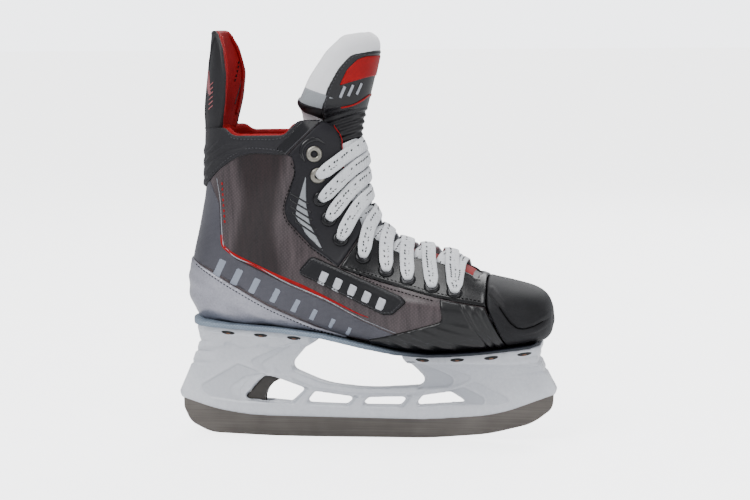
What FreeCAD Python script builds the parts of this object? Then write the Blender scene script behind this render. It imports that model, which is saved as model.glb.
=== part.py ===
import FreeCAD, Part
import math
import os

import Sketcher
from FreeCAD import Vector

# Ice hockey skate, right foot. Millimetres. +X toe, +Y medial side, +Z up.
# The origin is on the ice, at the middle of the runner's length.

doc = FreeCAD.newDocument("ice_hockey_skate")

# ---------------------------------------------------------------- driving dimensions
SIZES = {
    "overlay_wall": (1.3, "overlays on the boot"),
    "shell_outer": (1.4, "inset of the quarter shell's outer face"),
    "shell_inner": (4.0, "inset of the quarter shell's inner face"),
    "lining_outer": (4.2, "inset of the soft linings' outer face"),
    "lining_inner": (8.5, "inset of the soft linings' inner face"),
    "outsole_depth": (3.6, "thickness of the outsole under the boot"),
    "flange_depth": (4.5, "thickness of the holder's riveted flanges"),
    "rail_width": (12.4, "width of the holder's rail and bridge"),
    "runner_width": (3.0, "thickness of the runner steel"),
    "slot_width": (3.6, "width of the holder's slot for the runner"),
    "bay_width": (8.4, "width of the trigger's bay"),
    "trigger_width": (7.6, "width of the trigger"),
    "fork_width": (4.2, "width of the trigger's fork"),
    "pin_radius": (1.5, "trigger pin"),
    "pin_hole_radius": (1.55, "trigger pin's holes"),
    "latch_radius": (1.5, "trigger's latch bar"),
    "rivet_radius": (2.2, "rivet shanks"),
    "rivet_head_radius": (4.2, "rivet heads"),
    "rivet_head_depth": (1.6, "rivet heads"),
    "washer_radius": (5.5, "rivet washers inside the boot"),
    "washer_depth": (1.0, "rivet washers inside the boot"),
    "throat_width": (35.0, "gap between the facings, over the tongue"),
    "eyelet_radius": (5.4, "eyelet flange"),
    "eyelet_hole_radius": (2.5, "eyelet hole"),
    "eyelet_depth": (1.0, "eyelet flange's height"),
    "lace_radius": (1.5, "lace"),
    "tongue_felt": (8.0, "thickness of the tongue's felt"),
    "tongue_cover": (2.4, "thickness of the tongue's cover"),
    "holder_width": (66.0, "width of the holder's flanges"),
    "guard_wall": (2.6, "thickness of the tendon guard's panel"),
    "guard_lining": (3.0, "thickness of the tendon guard's lining"),
}

sheet = doc.addObject("Spreadsheet::Sheet", "Sizes")
for row, (alias, (value, note)) in enumerate(SIZES.items(), start=1):
    sheet.set("A%d" % row, note)
    sheet.set("B%d" % row, str(value))
    sheet.setAlias("B%d" % row, alias)
doc.recompute()


def size(alias):
    return float(getattr(sheet, alias))


def label(obj, name):
    """Name a finished sub-part; the label is also its file name."""
    obj.Label = name
    SUBPARTS.append(obj)
    return obj


def feature(name, shape):
    """A sub-part whose form is a free surface that no feature or primitive fits."""
    obj = doc.addObject("Part::Feature", name)
    obj.Shape = shape
    obj.Placement = FreeCAD.Placement()
    return label(obj, name)


SUBPARTS = []


# ---------------------------------------------------------------- outlines in side view
def corner_arc(before, point, after, radius):
    """Tangent arc of the given radius at a corner: its start, middle and end."""
    to_before = (before - point).normalize()
    to_after = (after - point).normalize()
    half = to_before.getAngle(to_after) / 2.0
    reach = radius / math.tan(half)
    bisector = (to_before + to_after).normalize()
    centre = point + bisector * (radius / math.sin(half))
    return point + to_before * reach, centre - bisector * radius, point + to_after * reach


def outline_edges(corners, plane="XZ"):
    """Edges of a closed outline. Each corner is (a, b) or (a, b, radius)."""
    if plane == "XZ":
        points = [Vector(c[0], 0, c[1]) for c in corners]
    else:
        points = [Vector(c[0], c[1], 0) for c in corners]
    count = len(points)
    curves = []
    start = None
    cursor = None
    for index, corner in enumerate(corners):
        point = points[index]
        if len(corner) == 3:
            first, middle, last = corner_arc(
                points[index - 1], point, points[(index + 1) % count], corner[2])
        else:
            first = middle = last = point
        if cursor is None:
            start = first
        elif cursor.distanceToPoint(first) > 1e-6:
            curves.append(Part.LineSegment(cursor, first))
        if len(corner) == 3:
            curves.append(Part.Arc(first, middle, last))
        cursor = last
    curves.append(Part.LineSegment(cursor, start))
    return curves


def prism(corners, low, high):
    """The side-view outline drawn through from y = low to y = high."""
    wire = Part.Wire([curve.toShape() for curve in outline_edges(corners)])
    face = Part.Face(wire)
    face.translate(Vector(0, low, 0))
    return face.extrude(Vector(0, high - low, 0))


FAR = 90.0

# ---------------------------------------------------------------- the boot's surface
# The boot is lofted through ribs, from the toe's nose round the heel to the top of the cuff.
# Each rib runs from the crest (x, z) over the instep to the base (x, z) on the sole or the back.
# Then: half width, sideways shift to the medial side, roundness at the crest and at the base
# (2 is an ellipse), how far the rib draws back towards the heel per millimetre of inset, and the
# share of the half width that is left at the crest, where the foot narrows under the lace.
RIBS = [
    ((141.8, 97), (141.4, 88), 6, 4.5, 2.0, 2.0, 1.0, 1.0),
    ((140.3, 104.5), (139.6, 82), 17, 4.5, 2.0, 2.2, 0.9, 1.0),
    ((136, 112), (135, 78), 26, 4.2, 2.1, 2.6, 0.7, 1.0),
    ((127, 117.6), (127, 76.6), 34.5, 3.6, 2.2, 3.2, 0.4, 0.95),
    ((111, 122), (112, 75.2), 42, 2.8, 2.2, 3.8, 0.1, 0.88),
    ((91, 127), (93, 73.4), 47, 1.6, 2.4, 4.2, 0, 0.72),
    ((74, 136), (73, 72), 49, 0.4, 3.2, 4.4, 0, 0.5),
    ((54, 142.5), (52, 71), 49.5, 0, 3.8, 4.4, 0, 0.45),
    ((34, 147), (28, 72.2), 48, 0, 3.8, 4.4, 0, 0.45),
    ((17, 156), (2, 76.5), 45, 0, 3.5, 4.2, 0, 0.5),
    ((7, 168), (-28, 82.5), 41, 0, 3.0, 4.0, 0, 0.55),
    ((2, 181), (-62, 86.2), 37.5, 0, 2.7, 3.8, 0, 0.65),
    ((-0.5, 193), (-98, 88.2), 35.5, 0, 2.6, 3.4, 0, 0.75),
    ((-1.5, 202), (-123, 91), 35, 0, 2.5, 2.8, 0, 0.85),
    ((-2, 209), (-133.5, 104), 35.5, 0, 2.5, 2.4, 0, 0.95),
    ((-3, 216), (-135.8, 120), 36.5, 0, 2.5, 2.2, 0, 1.0),
    ((-5, 223), (-132.6, 141), 38, 0, 2.6, 2.1, 0, 1.0),
    ((-8, 230), (-127.2, 164), 39, 0, 2.6, 2.1, 0, 1.0),
    ((-13, 237), (-122.6, 190), 39, 0, 2.6, 2.1, 0, 1.0),
    ((-20, 244), (-121.6, 216), 38.5, 0, 2.6, 2.1, 0, 1.0),
    ((-27, 252), (-120, 252), 38.5, 0, 2.6, 2.1, 0, 1.0),
]
POINTS_PER_RIB = 28


def rib_point(rib, inset, turn):
    """A point of one rib: turn is 0 at the crest, pi at the base, and past pi on the lateral side."""
    crest, base, half_width, shift, round_crest, round_base, lean, crest_share = rib
    crest = Vector(crest[0], 0, crest[1])
    base = Vector(base[0], 0, base[1])
    along = (base - crest).normalize()
    draw_back = Vector(-lean * inset, 0, 0)
    crest = crest + along * inset + draw_back
    base = base - along * inset + draw_back
    cosine, sine = math.cos(turn), math.sin(turn)
    roundness = round_crest + (round_base - round_crest) * (1 - cosine) / 2
    power = 2.0 / roundness
    down = (1 - math.copysign(abs(cosine) ** power, cosine)) / 2
    rise = min(1.0, 2 * down)
    width_share = crest_share + (1 - crest_share) * rise * rise * (3 - 2 * rise)
    across = (half_width - inset) * width_share * math.copysign(abs(sine) ** power, sine)
    point = crest + (base - crest) * down
    point.y = shift + across
    return point


def boot_solid(inset):
    """The whole boot as one solid, drawn in by the inset. Ribs too narrow to hold it are left out."""
    wires = []
    for rib in RIBS:
        if rib[2] < 2 * inset:
            continue
        curve = Part.BSplineCurve()
        steps = [k / POINTS_PER_RIB for k in range(POINTS_PER_RIB + 1)]
        points = [rib_point(rib, inset, 2 * math.pi * step) for step in steps[:-1]]
        curve.interpolate(Points=points + [points[0]], Parameters=steps)
        wires.append(Part.Wire([curve.toShape()]))
    return Part.makeLoft(wires, True, True)


def layer(outer, inner, *outlines, low=-FAR, high=FAR):
    """What lies between two insets of the boot, inside the first outline and outside the others."""
    kept = boot(outer).common(prism(outlines[0], low, high)).cut(boot(inner))
    for outline in outlines[1:]:
        kept = kept.cut(prism(outline, low, high))
    return kept


BOOTS = {}


def boot(inset):
    if inset not in BOOTS:
        BOOTS[inset] = boot_solid(inset)
    return BOOTS[inset]


def sole_height(x):
    """Height of the boot's underside at x, from the ribs' bases."""
    bases = sorted(rib[1] for rib in RIBS[:14])
    for (x0, z0), (x1, z1) in zip(bases, bases[1:]):
        if x <= x1 or (x1, z1) == bases[-1]:
            return z0 + (z1 - z0) * (x - x0) / (x1 - x0)


def surface_point(x, z, side, inset=0.0):
    """The point of the boot's surface at x, z on one side (+1 medial, -1 lateral), and its normal."""
    ray = Part.makeLine(Vector(x, side * FAR, z), Vector(x, 0, z))
    hit = ray.common(boot(inset))
    point = min((v.Point for v in hit.Vertexes), key=lambda p: -p.y * side)
    nearest = min(boot(inset).Faces, key=lambda f: f.distToShape(Part.Vertex(point))[0])
    u, v = nearest.Surface.parameter(point)
    normal = nearest.normalAt(u, v)
    if normal.y * side < 0:
        normal = normal * -1
    return point, normal


def throat_cut(shape):
    """Open the boot's front between the facings."""
    half_width = size("throat_width") / 2
    return shape.cut(prism(THROAT_FLOOR, -half_width, half_width))


# Outlines of the boot's pieces in side view. Each corner is (x, z) or (x, z, radius).
TOE = [(93.5, 129.5), (96, 109, 10), (112.5, 70), (150, 70), (150, 130)]
THROAT = [(-28, 262), (-28, 243, 3), (-19, 240, 6), (-12, 228, 12), (-11, 208, 60), (3, 161, 30),
          (22, 148.5, 30), (59, 139, 40), (79, 135, 6), (86, 127), (120, 165), (60, 262)]
THROAT_FLOOR = [(-28, 262), (-42, 243), (-26, 225), (-24, 205), (-10, 155), (20, 135), (60, 125),
                (86, 119), (87.5, 128), (120, 165), (60, 262)]
SHELL = [(-150, 60), (111.5, 60), (111.5, 71), (95, 109, 10), (92, 131), (60, 242.6),
         (-30, 242.6), (-34, 240), (-42, 240, 4), (-55, 229, 8), (-96, 229, 8), (-105, 234, 5),
         (-150, 236)]
COLLAR = [(-128, 189), (-121, 192), (-106, 206, 40), (-85, 219.5, 40), (-52.3, 217.9), (-27.7, 243.7),
          (-43, 243.5, 8), (-54, 232.5, 8), (-93, 232, 10), (-99, 237.5, 4), (-128, 237.5)]
FACING_UPPER = [(-27.2, 243.2), (-51.8, 217.4), (-48, 217.2, 3), (-45.5, 206, 20), (-55, 178, 12),
                (-52, 168, 10), (-34, 149, 20), (-14, 135.5), (2.2, 160.5), (-11.5, 208, 60),
                (-12.5, 228, 12), (-19.5, 239.5, 6)]
FACING_LOWER = [(-13.5, 135.2), (-6, 132.5), (20, 125), (60, 115, 40), (95, 108), (93.2, 114),
                (85.7, 127), (78.8, 134.7, 6), (58.8, 138.6, 40), (22, 148, 30), (2.8, 160)]
HEEL_CUP = [(-150, 138.5), (-133, 138.5), (-113, 129.5, 60), (-70, 105, 60), (-33, 88.5),
            (-10, 81.5), (-10, 60), (-150, 60)]
FOREFOOT = [(8, 81), (64, 97.5, 4), (62, 114), (94.6, 107.7), (110.5, 74.5), (110.5, 60), (8, 60)]
BADGE = [(-46, 130.5, 3), (-34.5, 143.5, 4), (33.5, 116, 3), (38, 111.5, 2), (27, 101.5, 3),
         (19.5, 101.5, 6)]
ANKLE = [(-150, 105), (-60, 105, 20), (-28, 140, 20), (-40, 160, 30), (-45, 175, 30), (-31, 236),
         (-43, 244.5, 8), (-54, 233.5, 8), (-93, 233, 10), (-99, 237.5, 4), (-150, 237.5)]
COUNTER = [(-150, 101.4), (-122, 99.6), (-98, 98.8), (-76, 98.2), (-85, 104.7), (-150, 104.7)]

outer = size("shell_outer")
inner = size("shell_inner")
lining_outer = size("lining_outer")
lining_inner = size("lining_inner")
overlay = size("overlay_wall")
depth = size("outsole_depth")

# Rivets: x positions along each flange; one row on each side of the middle.
REAR_RIVETS = [-102, -77, -52]
FRONT_RIVETS = [46, 72, 97]
REAR_RIVET_OFFSET = 17.0
FRONT_RIVET_OFFSET = 21.0
BOARD_TOP = 7.0


def rivet_places(group, offset):
    return [(x, side * offset, sole_height(x)) for x in group for side in (-1, 1)]


rear_places = rivet_places(REAR_RIVETS, REAR_RIVET_OFFSET)
front_places = rivet_places(FRONT_RIVETS, FRONT_RIVET_OFFSET)
BORE_BELOW = 12.0
BORE_ABOVE = 11.0
WASHER_ROOM = 0.4
bores = Part.makeCompound([
    Part.makeCylinder(size("rivet_radius"), BORE_BELOW + BORE_ABOVE, Vector(x, y, z - BORE_BELOW))
    for x, y, z in rear_places + front_places])
washer_seats = Part.makeCompound([
    Part.makeCylinder(size("washer_radius") + WASHER_ROOM, 4 * size("washer_depth"),
                      Vector(x, y, z + BOARD_TOP))
    for x, y, z in rear_places + front_places])

feature("toe_cap", layer(0.0, inner, TOE))
feature("collar_band", layer(0.0, overlay, COLLAR, THROAT))
feature("heel_cup", layer(0.0, overlay, HEEL_CUP).cut(bores))
SIDES = (("lateral", -1), ("medial", 1))


def half(side):
    """The y range of one side of the boot."""
    return {"low": min(side * FAR, 0.0), "high": max(side * FAR, 0.0)}


# ---------------------------------------------------------------- eyelets
# Eyelet centres in side view, from the cuff down to the toe. The lace starts at the second.
EYELETS = [(-31.5, 218.3), (-29.7, 202.5), (-28, 184.8), (-22.4, 170.2), (-13.5, 155.2),
           (3.7, 142.5), (20.7, 132.8), (37.5, 126.8), (55, 121.8), (72, 118.2)]
EYELET_GAP = 0.6
holes = {(row, side): surface_point(x, z, side)
         for row, (x, z) in enumerate(EYELETS) for _, side in SIDES}


def along_normal(hole, low, high, radius):
    """A cylinder on an eyelet's axis, between two heights above the boot's surface."""
    point, normal = hole
    return Part.makeCylinder(radius, high - low, point + normal * low, normal)


def eyelet(hole):
    low = EYELET_GAP
    high = low + size("eyelet_depth")
    flange = along_normal(hole, low, high, size("eyelet_radius"))
    return flange.cut(along_normal(hole, low, high, size("eyelet_hole_radius")))


eyelet_bores = Part.makeCompound([
    along_normal(hole, -9, 3, size("eyelet_hole_radius")) for hole in holes.values()])
PEWTER_ROWS = 2
feature("eyelets_top", Part.makeCompound(
    [eyelet(hole) for (row, _), hole in holes.items() if row < PEWTER_ROWS]))
feature("eyelets_lower", Part.makeCompound(
    [eyelet(hole) for (row, _), hole in holes.items() if row >= PEWTER_ROWS]))

shell = throat_cut(layer(outer, inner, SHELL, THROAT))
feature("quarter_shell", shell.cut(bores).cut(eyelet_bores).cut(washer_seats))
for side_name, side in SIDES:
    for part_name, outline in (("upper", FACING_UPPER), ("lower", FACING_LOWER)):
        facing = throat_cut(layer(0.0, overlay, outline, **half(side))).cut(eyelet_bores)
        feature("facing_%s_%s" % (part_name, side_name), facing)
    feature("side_badge_" + side_name, layer(0.0, overlay, BADGE, **half(side)))
feature("ankle_lining", layer(lining_outer, lining_inner, ANKLE, THROAT))


def inner_slab(inset, low, high, back, front):
    """A slab inside the boot, between two heights above the sole, following the sole's line."""
    xs = [back] + [x for x in (-98, -62, -28, 2, 28, 52, 73, 93, 112) if back < x < front] + [front]
    bottom = [(x, sole_height(x) + low) for x in xs]
    top = [(x, sole_height(x) + high) for x in reversed(xs)]
    return boot(inset).common(prism(bottom + top, -FAR, FAR))


COUNTER_INNER = 6.2
feature("heel_counter", layer(lining_outer, COUNTER_INNER, COUNTER).cut(washer_seats))
board = inner_slab(lining_outer, lining_outer, BOARD_TOP, -128, 136)
feature("insole_board", board.cut(bores).cut(washer_seats))
FOOTBED_INSET = 6.4
FOOTBED_BASE = 8.1
FOOTBED_TOP = 12.5
footbed = inner_slab(FOOTBED_INSET, FOOTBED_BASE, FOOTBED_TOP, -126, 130)
feature("footbed", footbed.cut(washer_seats))
TOE_LINER = [(95, 131), (97, 96), (140, 96), (140, 131)]
TOE_LINER_INNER = 5.4
feature("toe_liner", layer(lining_outer, TOE_LINER_INNER, TOE_LINER))

for side_name, side in SIDES:
    feature("forefoot_panel_" + side_name, layer(0.0, overlay, FOREFOOT, **half(side)).cut(bores))

# ---------------------------------------------------------------- outsole
# Its plan follows the ribs' bases, drawn in to the flat of the sole, and is rounded at the heel.
PLAN_SHARE = 0.86
plan_ribs = RIBS[1:14]
medial_edge = [(rib[1][0], rib[3] + PLAN_SHARE * rib[2]) for rib in plan_ribs]
lateral_edge = [(rib[1][0], rib[3] - PLAN_SHARE * rib[2]) for rib in plan_ribs]
heel_round = [(-129, 17), (-132, 0), (-129, -17)]
plan_points = [Vector(x, y, 0) for x, y in medial_edge + heel_round + lateral_edge[::-1]]
plan_curve = Part.BSplineCurve()
plan_curve.interpolate(Points=plan_points + [plan_points[0]])
plan = Part.Face(Part.Wire([plan_curve.toShape()])).extrude(Vector(0, 0, 200))
sole_xs = [-140, -123, -98, -62, -28, 2, 28, 52, 73, 93, 112, 127, 145]
SOLE_LIP = 2.5
sole_band = ([(x, sole_height(x) - depth) for x in sole_xs]
             + [(x, sole_height(x) + SOLE_LIP) for x in reversed(sole_xs)])
outsole = plan.common(prism(sole_band, -FAR, FAR)).cut(boot(0.0)).cut(bores)
feature("outsole", max(outsole.Solids, key=lambda solid: solid.Volume))


# ---------------------------------------------------------------- rivets, washers
RIVET_GAP = 0.1


def rivet(place):
    """One rivet: head under the flange, shank up to the washer inside the boot."""
    x, y, sole = place
    underside = sole - depth - size("flange_depth")
    head = Part.makeCylinder(size("rivet_head_radius"), size("rivet_head_depth"),
                             Vector(x, y, underside - size("rivet_head_depth") - RIVET_GAP))
    top = sole + BOARD_TOP + size("washer_depth")
    base = underside - RIVET_GAP
    shank = Part.makeCylinder(size("rivet_radius") - RIVET_GAP / 2, top - base, Vector(x, y, base))
    return head.fuse(shank)


def washer(place):
    x, y, sole = place
    base = Vector(x, y, sole + BOARD_TOP)
    ring = Part.makeCylinder(size("washer_radius"), size("washer_depth"), base)
    return ring.cut(Part.makeCylinder(size("rivet_radius"), size("washer_depth"), base))


feature("rivets_rear", Part.makeCompound([rivet(place) for place in rear_places]))
feature("rivets_front", Part.makeCompound([rivet(place) for place in front_places]))
feature("rivet_washers", Part.makeCompound([washer(place) for place in rear_places + front_places]))


# ---------------------------------------------------------------- tongue and tendon guard
def bow_solid(sections, inset, nose):
    """A bowed solid, lofted from level sections (z, front, depth, half width).

    Each section is half an ellipse whose nose points along X by the sign of nose, with a short
    straight skirt behind it. The inset draws the whole wall in.
    """
    wires = []
    for z, front, bow, half_width in sections:
        centre = front - nose * bow
        turns = [math.pi * (k / 16 - 0.5) for k in range(17)]
        points = [Vector(centre + nose * (bow - inset) * math.cos(turn),
                         (half_width - inset) * math.sin(turn), z) for turn in turns]
        curve = Part.BSplineCurve()
        curve.interpolate(Points=points, Parameters=[k / 16 for k in range(17)])
        skirt = [points[-1], points[-1] - Vector(nose * SKIRT, 0, 0),
                 points[0] - Vector(nose * SKIRT, 0, 0), points[0]]
        edges = [curve.toShape()] + [Part.makeLine(a, b) for a, b in zip(skirt, skirt[1:])]
        wires.append(Part.Wire(edges))
    return Part.makeLoft(wires, True, True)


def bow_layer(sections, outer_inset, inner_inset, outline, nose):
    kept = bow_solid(sections, outer_inset, nose).common(prism(outline, -FAR, FAR))
    return kept.cut(bow_solid(sections, inner_inset, nose))


SKIRT = 14.0
TONGUE = [(209, -3.5, 20, 13), (230, -1.5, 30, 15), (243.6, 0.6, 38, 16.4), (252, 2.9, 44, 29),
          (260, 5, 46, 33), (276, 9, 46, 34), (292, 12.6, 44, 34), (308, 15.5, 40, 33)]
TONGUE_TOP = [(-4, 212.5), (-36, 242.5), (-46, 251.5, 2), (-37, 273, 40), (-22, 294, 30),
              (-9, 304.8, 10), (7, 306.3, 8), (16.5, 302.5), (40, 296), (40, 212.5)]
TONGUE_COVER = [(-4, 212.5), (-29.5, 236.5), (-28, 249, 20), (-22, 267, 40), (-14, 281, 30),
                (-5, 291, 12), (12, 293.8), (40, 294), (40, 212.5)]
TONGUE_BASE = [(0, 208.5), (-26, 220), (-25, 206), (-10, 155, 20), (16, 138, 20), (60, 126, 20),
               (88, 119), (92, 127), (130, 165), (60, 208.5)]
COVER_BASE = [(0, 208.5), (-22, 217), (-21, 205), (-7, 157, 20), (20, 139, 20), (60, 129, 20),
              (85.5, 121), (86.5, 127.5), (120, 165), (60, 208.5)]
cover = size("tongue_cover")
felt = size("tongue_felt")
TONGUE_GAP = 0.2
FELT_ROOM = 3.6
COVER_INSET = 2.0
BADGE_DEPTH = 1.2
TONGUE_BADGE = [(-14, 266), (-8, 280, 12), (2, 289.5, 8), (11, 289.5), (30, 280), (30, 272)]

feature("tongue_top_cover", bow_layer(TONGUE, 0.0, cover, TONGUE_COVER, 1))
feature("tongue_top_felt", bow_layer(TONGUE, cover + TONGUE_GAP, cover + felt, TONGUE_TOP, 1))
feature("tongue_badge", bow_layer(TONGUE, -BADGE_DEPTH, -TONGUE_GAP / 2, TONGUE_BADGE, 1))
cover_half = size("throat_width") / 2 - TONGUE_GAP
base_cover = layer(COVER_INSET, inner, COVER_BASE, low=-cover_half, high=cover_half)
feature("tongue_base_cover", base_cover)
felt_outer = inner + FELT_ROOM
feature("tongue_base_felt", layer(felt_outer, felt_outer + felt / 2, TONGUE_BASE))

GUARD = [(240, -120.3, 17.5, 27), (252, -120.2, 20, 31), (275, -117.6, 21, 34.5),
         (293, -115.8, 17, 30), (310, -114.2, 9, 20)]
GUARD_EDGE = [(-130, 240.5), (-102, 240.5), (-98.6, 258, 30), (-97.2, 277, 20), (-101, 297, 20),
              (-107, 309, 5), (-130, 309)]
guard_wall = size("guard_wall")
GUARD_GAP = 0.1
feature("tendon_guard_panel", bow_layer(GUARD, 0.0, guard_wall, GUARD_EDGE, -1))
feature("tendon_guard_lining", bow_layer(GUARD, guard_wall + GUARD_GAP,
                                         guard_wall + size("guard_lining"), GUARD_EDGE, -1))


# ---------------------------------------------------------------- blade holder, runner, trigger
def new_body(name):
    return doc.addObject("PartDesign::Body", name)


def new_sketch(body, name, role, loops=(), circles=()):
    """A sketch on one of the body's own planes. A circle is (x, y, sheet alias of its radius)."""
    sketch = body.newObject("Sketcher::SketchObject", name)
    plane = next(f for f in body.Origin.OriginFeatures if f.Role == role)
    sketch.AttachmentSupport = [(plane, "")]
    sketch.MapMode = "FlatFace"
    for loop in loops:
        for curve in outline_edges(loop, "XY"):
            sketch.addGeometry(curve, False)
    for x, y, alias in circles:
        index = sketch.addGeometry(Part.Circle(Vector(x, y, 0), Vector(0, 0, 1), size(alias)), False)
        constraint = sketch.addConstraint(Sketcher.Constraint("Radius", index, size(alias)))
        sketch.setExpression("Constraints[%d]" % constraint, "Sizes." + alias)
    return sketch


def new_pad(body, name, sketch, width):
    pad = body.newObject("PartDesign::Pad", name)
    pad.Profile = sketch
    pad.SideType = "Symmetric"
    pad.setExpression("Length", width)
    doc.recompute()
    return pad


def new_pocket(body, name, sketch, width=None, reach=None, reverse=False):
    """A pocket: symmetric of a width, one-sided of a reach, or right through. It must cut."""
    before = body.Shape.Volume
    pocket = body.newObject("PartDesign::Pocket", name)
    pocket.Profile = sketch
    if reach:
        pocket.Length = reach
        pocket.Reversed = reverse
    elif width:
        pocket.SideType = "Symmetric"
        pocket.setExpression("Length", width)
    else:
        pocket.SideType = "Symmetric"
        pocket.Type = "ThroughAll"
    doc.recompute()
    if body.Shape.Volume >= before:
        raise ValueError(name + " cuts nothing")
    return pocket


def mirrored(loop):
    """The loop on the other side of the sketch's vertical axis, still turning the same way."""
    return [(-corner[0],) + tuple(corner[1:]) for corner in reversed(loop)]


def flipped(loop):
    """The loop on the other side of the sketch's horizontal axis."""
    return [(corner[0], -corner[1]) + tuple(corner[2:]) for corner in reversed(loop)]


HOLDER_GAP = 0.1
holder_top = [(x, sole_height(x) - depth - HOLDER_GAP)
              for x in (134, 127, 112, 93, 73, 52, 29, -31, -62, -98, -123)]
HOLDER_NOSE = [(143.3, 37.1), (144.7, 40.5, 2), (137, 54, 6), (131, 65, 5)]
HOLDER_TAIL = [(-127, 73, 8), (-135, 55, 15), (-144.8, 34, 4), (-142.9, 29.3)]
HOLDER_BASE = [(-117, 20.8, 120), (-88, 16.2, 150), (48, 16, 200), (100, 20.5, 120)]
BIG_WINDOW = [(34, 63.5, 5), (46.5, 47.5, 5), (42, 41.2, 6), (3, 38.4, 150), (-30, 41.5, 80),
              (-60, 53.5, 5), (-46, 70, 20)]
holder_outline = (HOLDER_BASE + HOLDER_NOSE + holder_top[:7] + BIG_WINDOW + holder_top[7:]
                  + HOLDER_TAIL)
WINDOWS = [
    [(-93.5, 30, 1.5), (-78, 47, 3), (-73, 47.3, 2), (-46, 38, 1.5), (-58, 26.8, 2)],
    [(-39, 35.8, 1.5), (-8, 32, 1.5), (-15.5, 25.3, 1.5), (-47, 26.2, 1.5)],
    [(2.5, 32, 1.5), (32.5, 33.2, 1.5), (26, 25.6, 1.5), (-4.5, 25.2, 1.5)],
    [(43.5, 34.2, 2), (65, 37.8, 3), (76, 31, 2), (74.5, 28.8, 1), (37, 25.6, 1.5)],
]
REAR_TRIM = [(6.2, -5), (6.2, 44, 10), (9, 58, 20), (13, 70, 4), (26, 74, 2), (26, 120), (70, 120),
             (70, -5)]
FRONT_TRIM = [(6.2, -5), (6.2, 44, 10), (9, 52, 20), (15, 60, 4), (32, 63.5, 2), (32, 120),
              (70, 120), (70, -5)]
NOSE_TRIM = [(90, 33), (126, 24, 20), (137, 12), (160, 12), (160, 60), (90, 60)]
TAIL_TRIM = [(-100, 27), (-118, 24, 12), (-128, 12), (-160, 12), (-160, 60), (-100, 60)]
RUNNER_TOP = [(-139.5, 31), (-117, 25.5), (-88, 20.7), (48, 20.5), (100, 25), (138.5, 39.5)]
SLOT_ROOM = 1.4
SLOT = ([(-160, 0), (160, 0), (160, 46.5)]
        + [(x, z + SLOT_ROOM) for x, z in reversed(RUNNER_TOP)] + [(-160, 37)])
BAY = [(-97, 20, 1), (-77, 20), (-63, 40), (-63, 58, 3), (-79, 58, 3), (-82, 51, 3), (-97, 36.5, 3)]
TRIGGER_PIVOT = (-71.0, 50.0)
LATCH_BAR = (-87.0, 25.0)

holder = new_body("holder_form")
new_pad(holder, "holder_pad", new_sketch(holder, "holder_side", "XZ_Plane", [holder_outline]),
        "Sizes.holder_width")
new_pocket(holder, "holder_windows", new_sketch(holder, "window_sketch", "XZ_Plane", WINDOWS))
HALF_LENGTH = 160
new_pocket(holder, "holder_front_taper",
           new_sketch(holder, "front_view", "YZ_Plane", [FRONT_TRIM, mirrored(FRONT_TRIM)]),
           reach=HALF_LENGTH, reverse=True)
new_pocket(holder, "holder_rear_taper",
           new_sketch(holder, "rear_view", "YZ_Plane", [REAR_TRIM, mirrored(REAR_TRIM)]),
           reach=HALF_LENGTH)
new_pocket(holder, "holder_plan",
           new_sketch(holder, "plan_view", "XY_Plane",
                      [NOSE_TRIM, flipped(NOSE_TRIM), TAIL_TRIM, flipped(TAIL_TRIM)]))
new_pocket(holder, "runner_slot", new_sketch(holder, "slot_sketch", "XZ_Plane", [SLOT]),
           width="Sizes.slot_width")
new_pocket(holder, "trigger_bay", new_sketch(holder, "bay_sketch", "XZ_Plane", [BAY]),
           width="Sizes.bay_width")
new_pocket(holder, "pin_hole",
           new_sketch(holder, "pin_sketch", "XZ_Plane",
                      circles=[TRIGGER_PIVOT + ("pin_hole_radius",)]))

# Rivet shanks' holes, and the open counterbores that take their heads under the flanges.
RECESS_ROOM = 0.7
DRILL_DEPTH = 30
DRILL_BELOW = 5
RECESS_DEPTH = 25
drills = []
for number, (x, y, sole) in enumerate(rear_places + front_places):
    underside = sole - depth - size("flange_depth")
    drill = doc.addObject("Part::Cylinder", "rivet_hole_%d" % number)
    drill.setExpression("Radius", "Sizes.rivet_radius")
    drill.Height = DRILL_DEPTH
    drill.Placement.Base = Vector(x, y, underside - DRILL_BELOW)
    recess = doc.addObject("Part::Cylinder", "rivet_recess_%d" % number)
    recess.setExpression("Radius", "Sizes.rivet_head_radius + %s" % RECESS_ROOM)
    recess.Height = RECESS_DEPTH
    recess.Placement.Base = Vector(x, y, underside - RECESS_DEPTH)
    drills += [drill, recess]
drill_set = doc.addObject("Part::MultiFuse", "rivet_drills")
drill_set.Shapes = drills
blade_holder = doc.addObject("Part::Cut", "blade_holder")
blade_holder.Base = holder
blade_holder.Tool = drill_set
label(blade_holder, "blade_holder")

# The runner: a rockered edge below, a tongue in the holder's slot above, and the latch tab.
LATCH_TAB = [(-80.4, 20.6), (-83.6, 32.4), (-86.9, 32.4), (-84.0, 20.6)]
runner_outline = ([(-142.3, 30.5), (-142.2, 21, 8), (-137, 9.5, 14), (-121, 1.5, 30), (-73, 0),
                   (-50, 0), (49, 1.2, 300), (93, 5.2, 120), (126, 13.8, 40), (141.5, 26, 10),
                   (142, 36.5)]
                  + RUNNER_TOP[:2:-1] + LATCH_TAB + RUNNER_TOP[2::-1])
runner = new_body("runner")
new_pad(runner, "runner_pad", new_sketch(runner, "runner_sketch", "XZ_Plane", [runner_outline]),
        "Sizes.runner_width")
label(runner, "runner")

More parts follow.
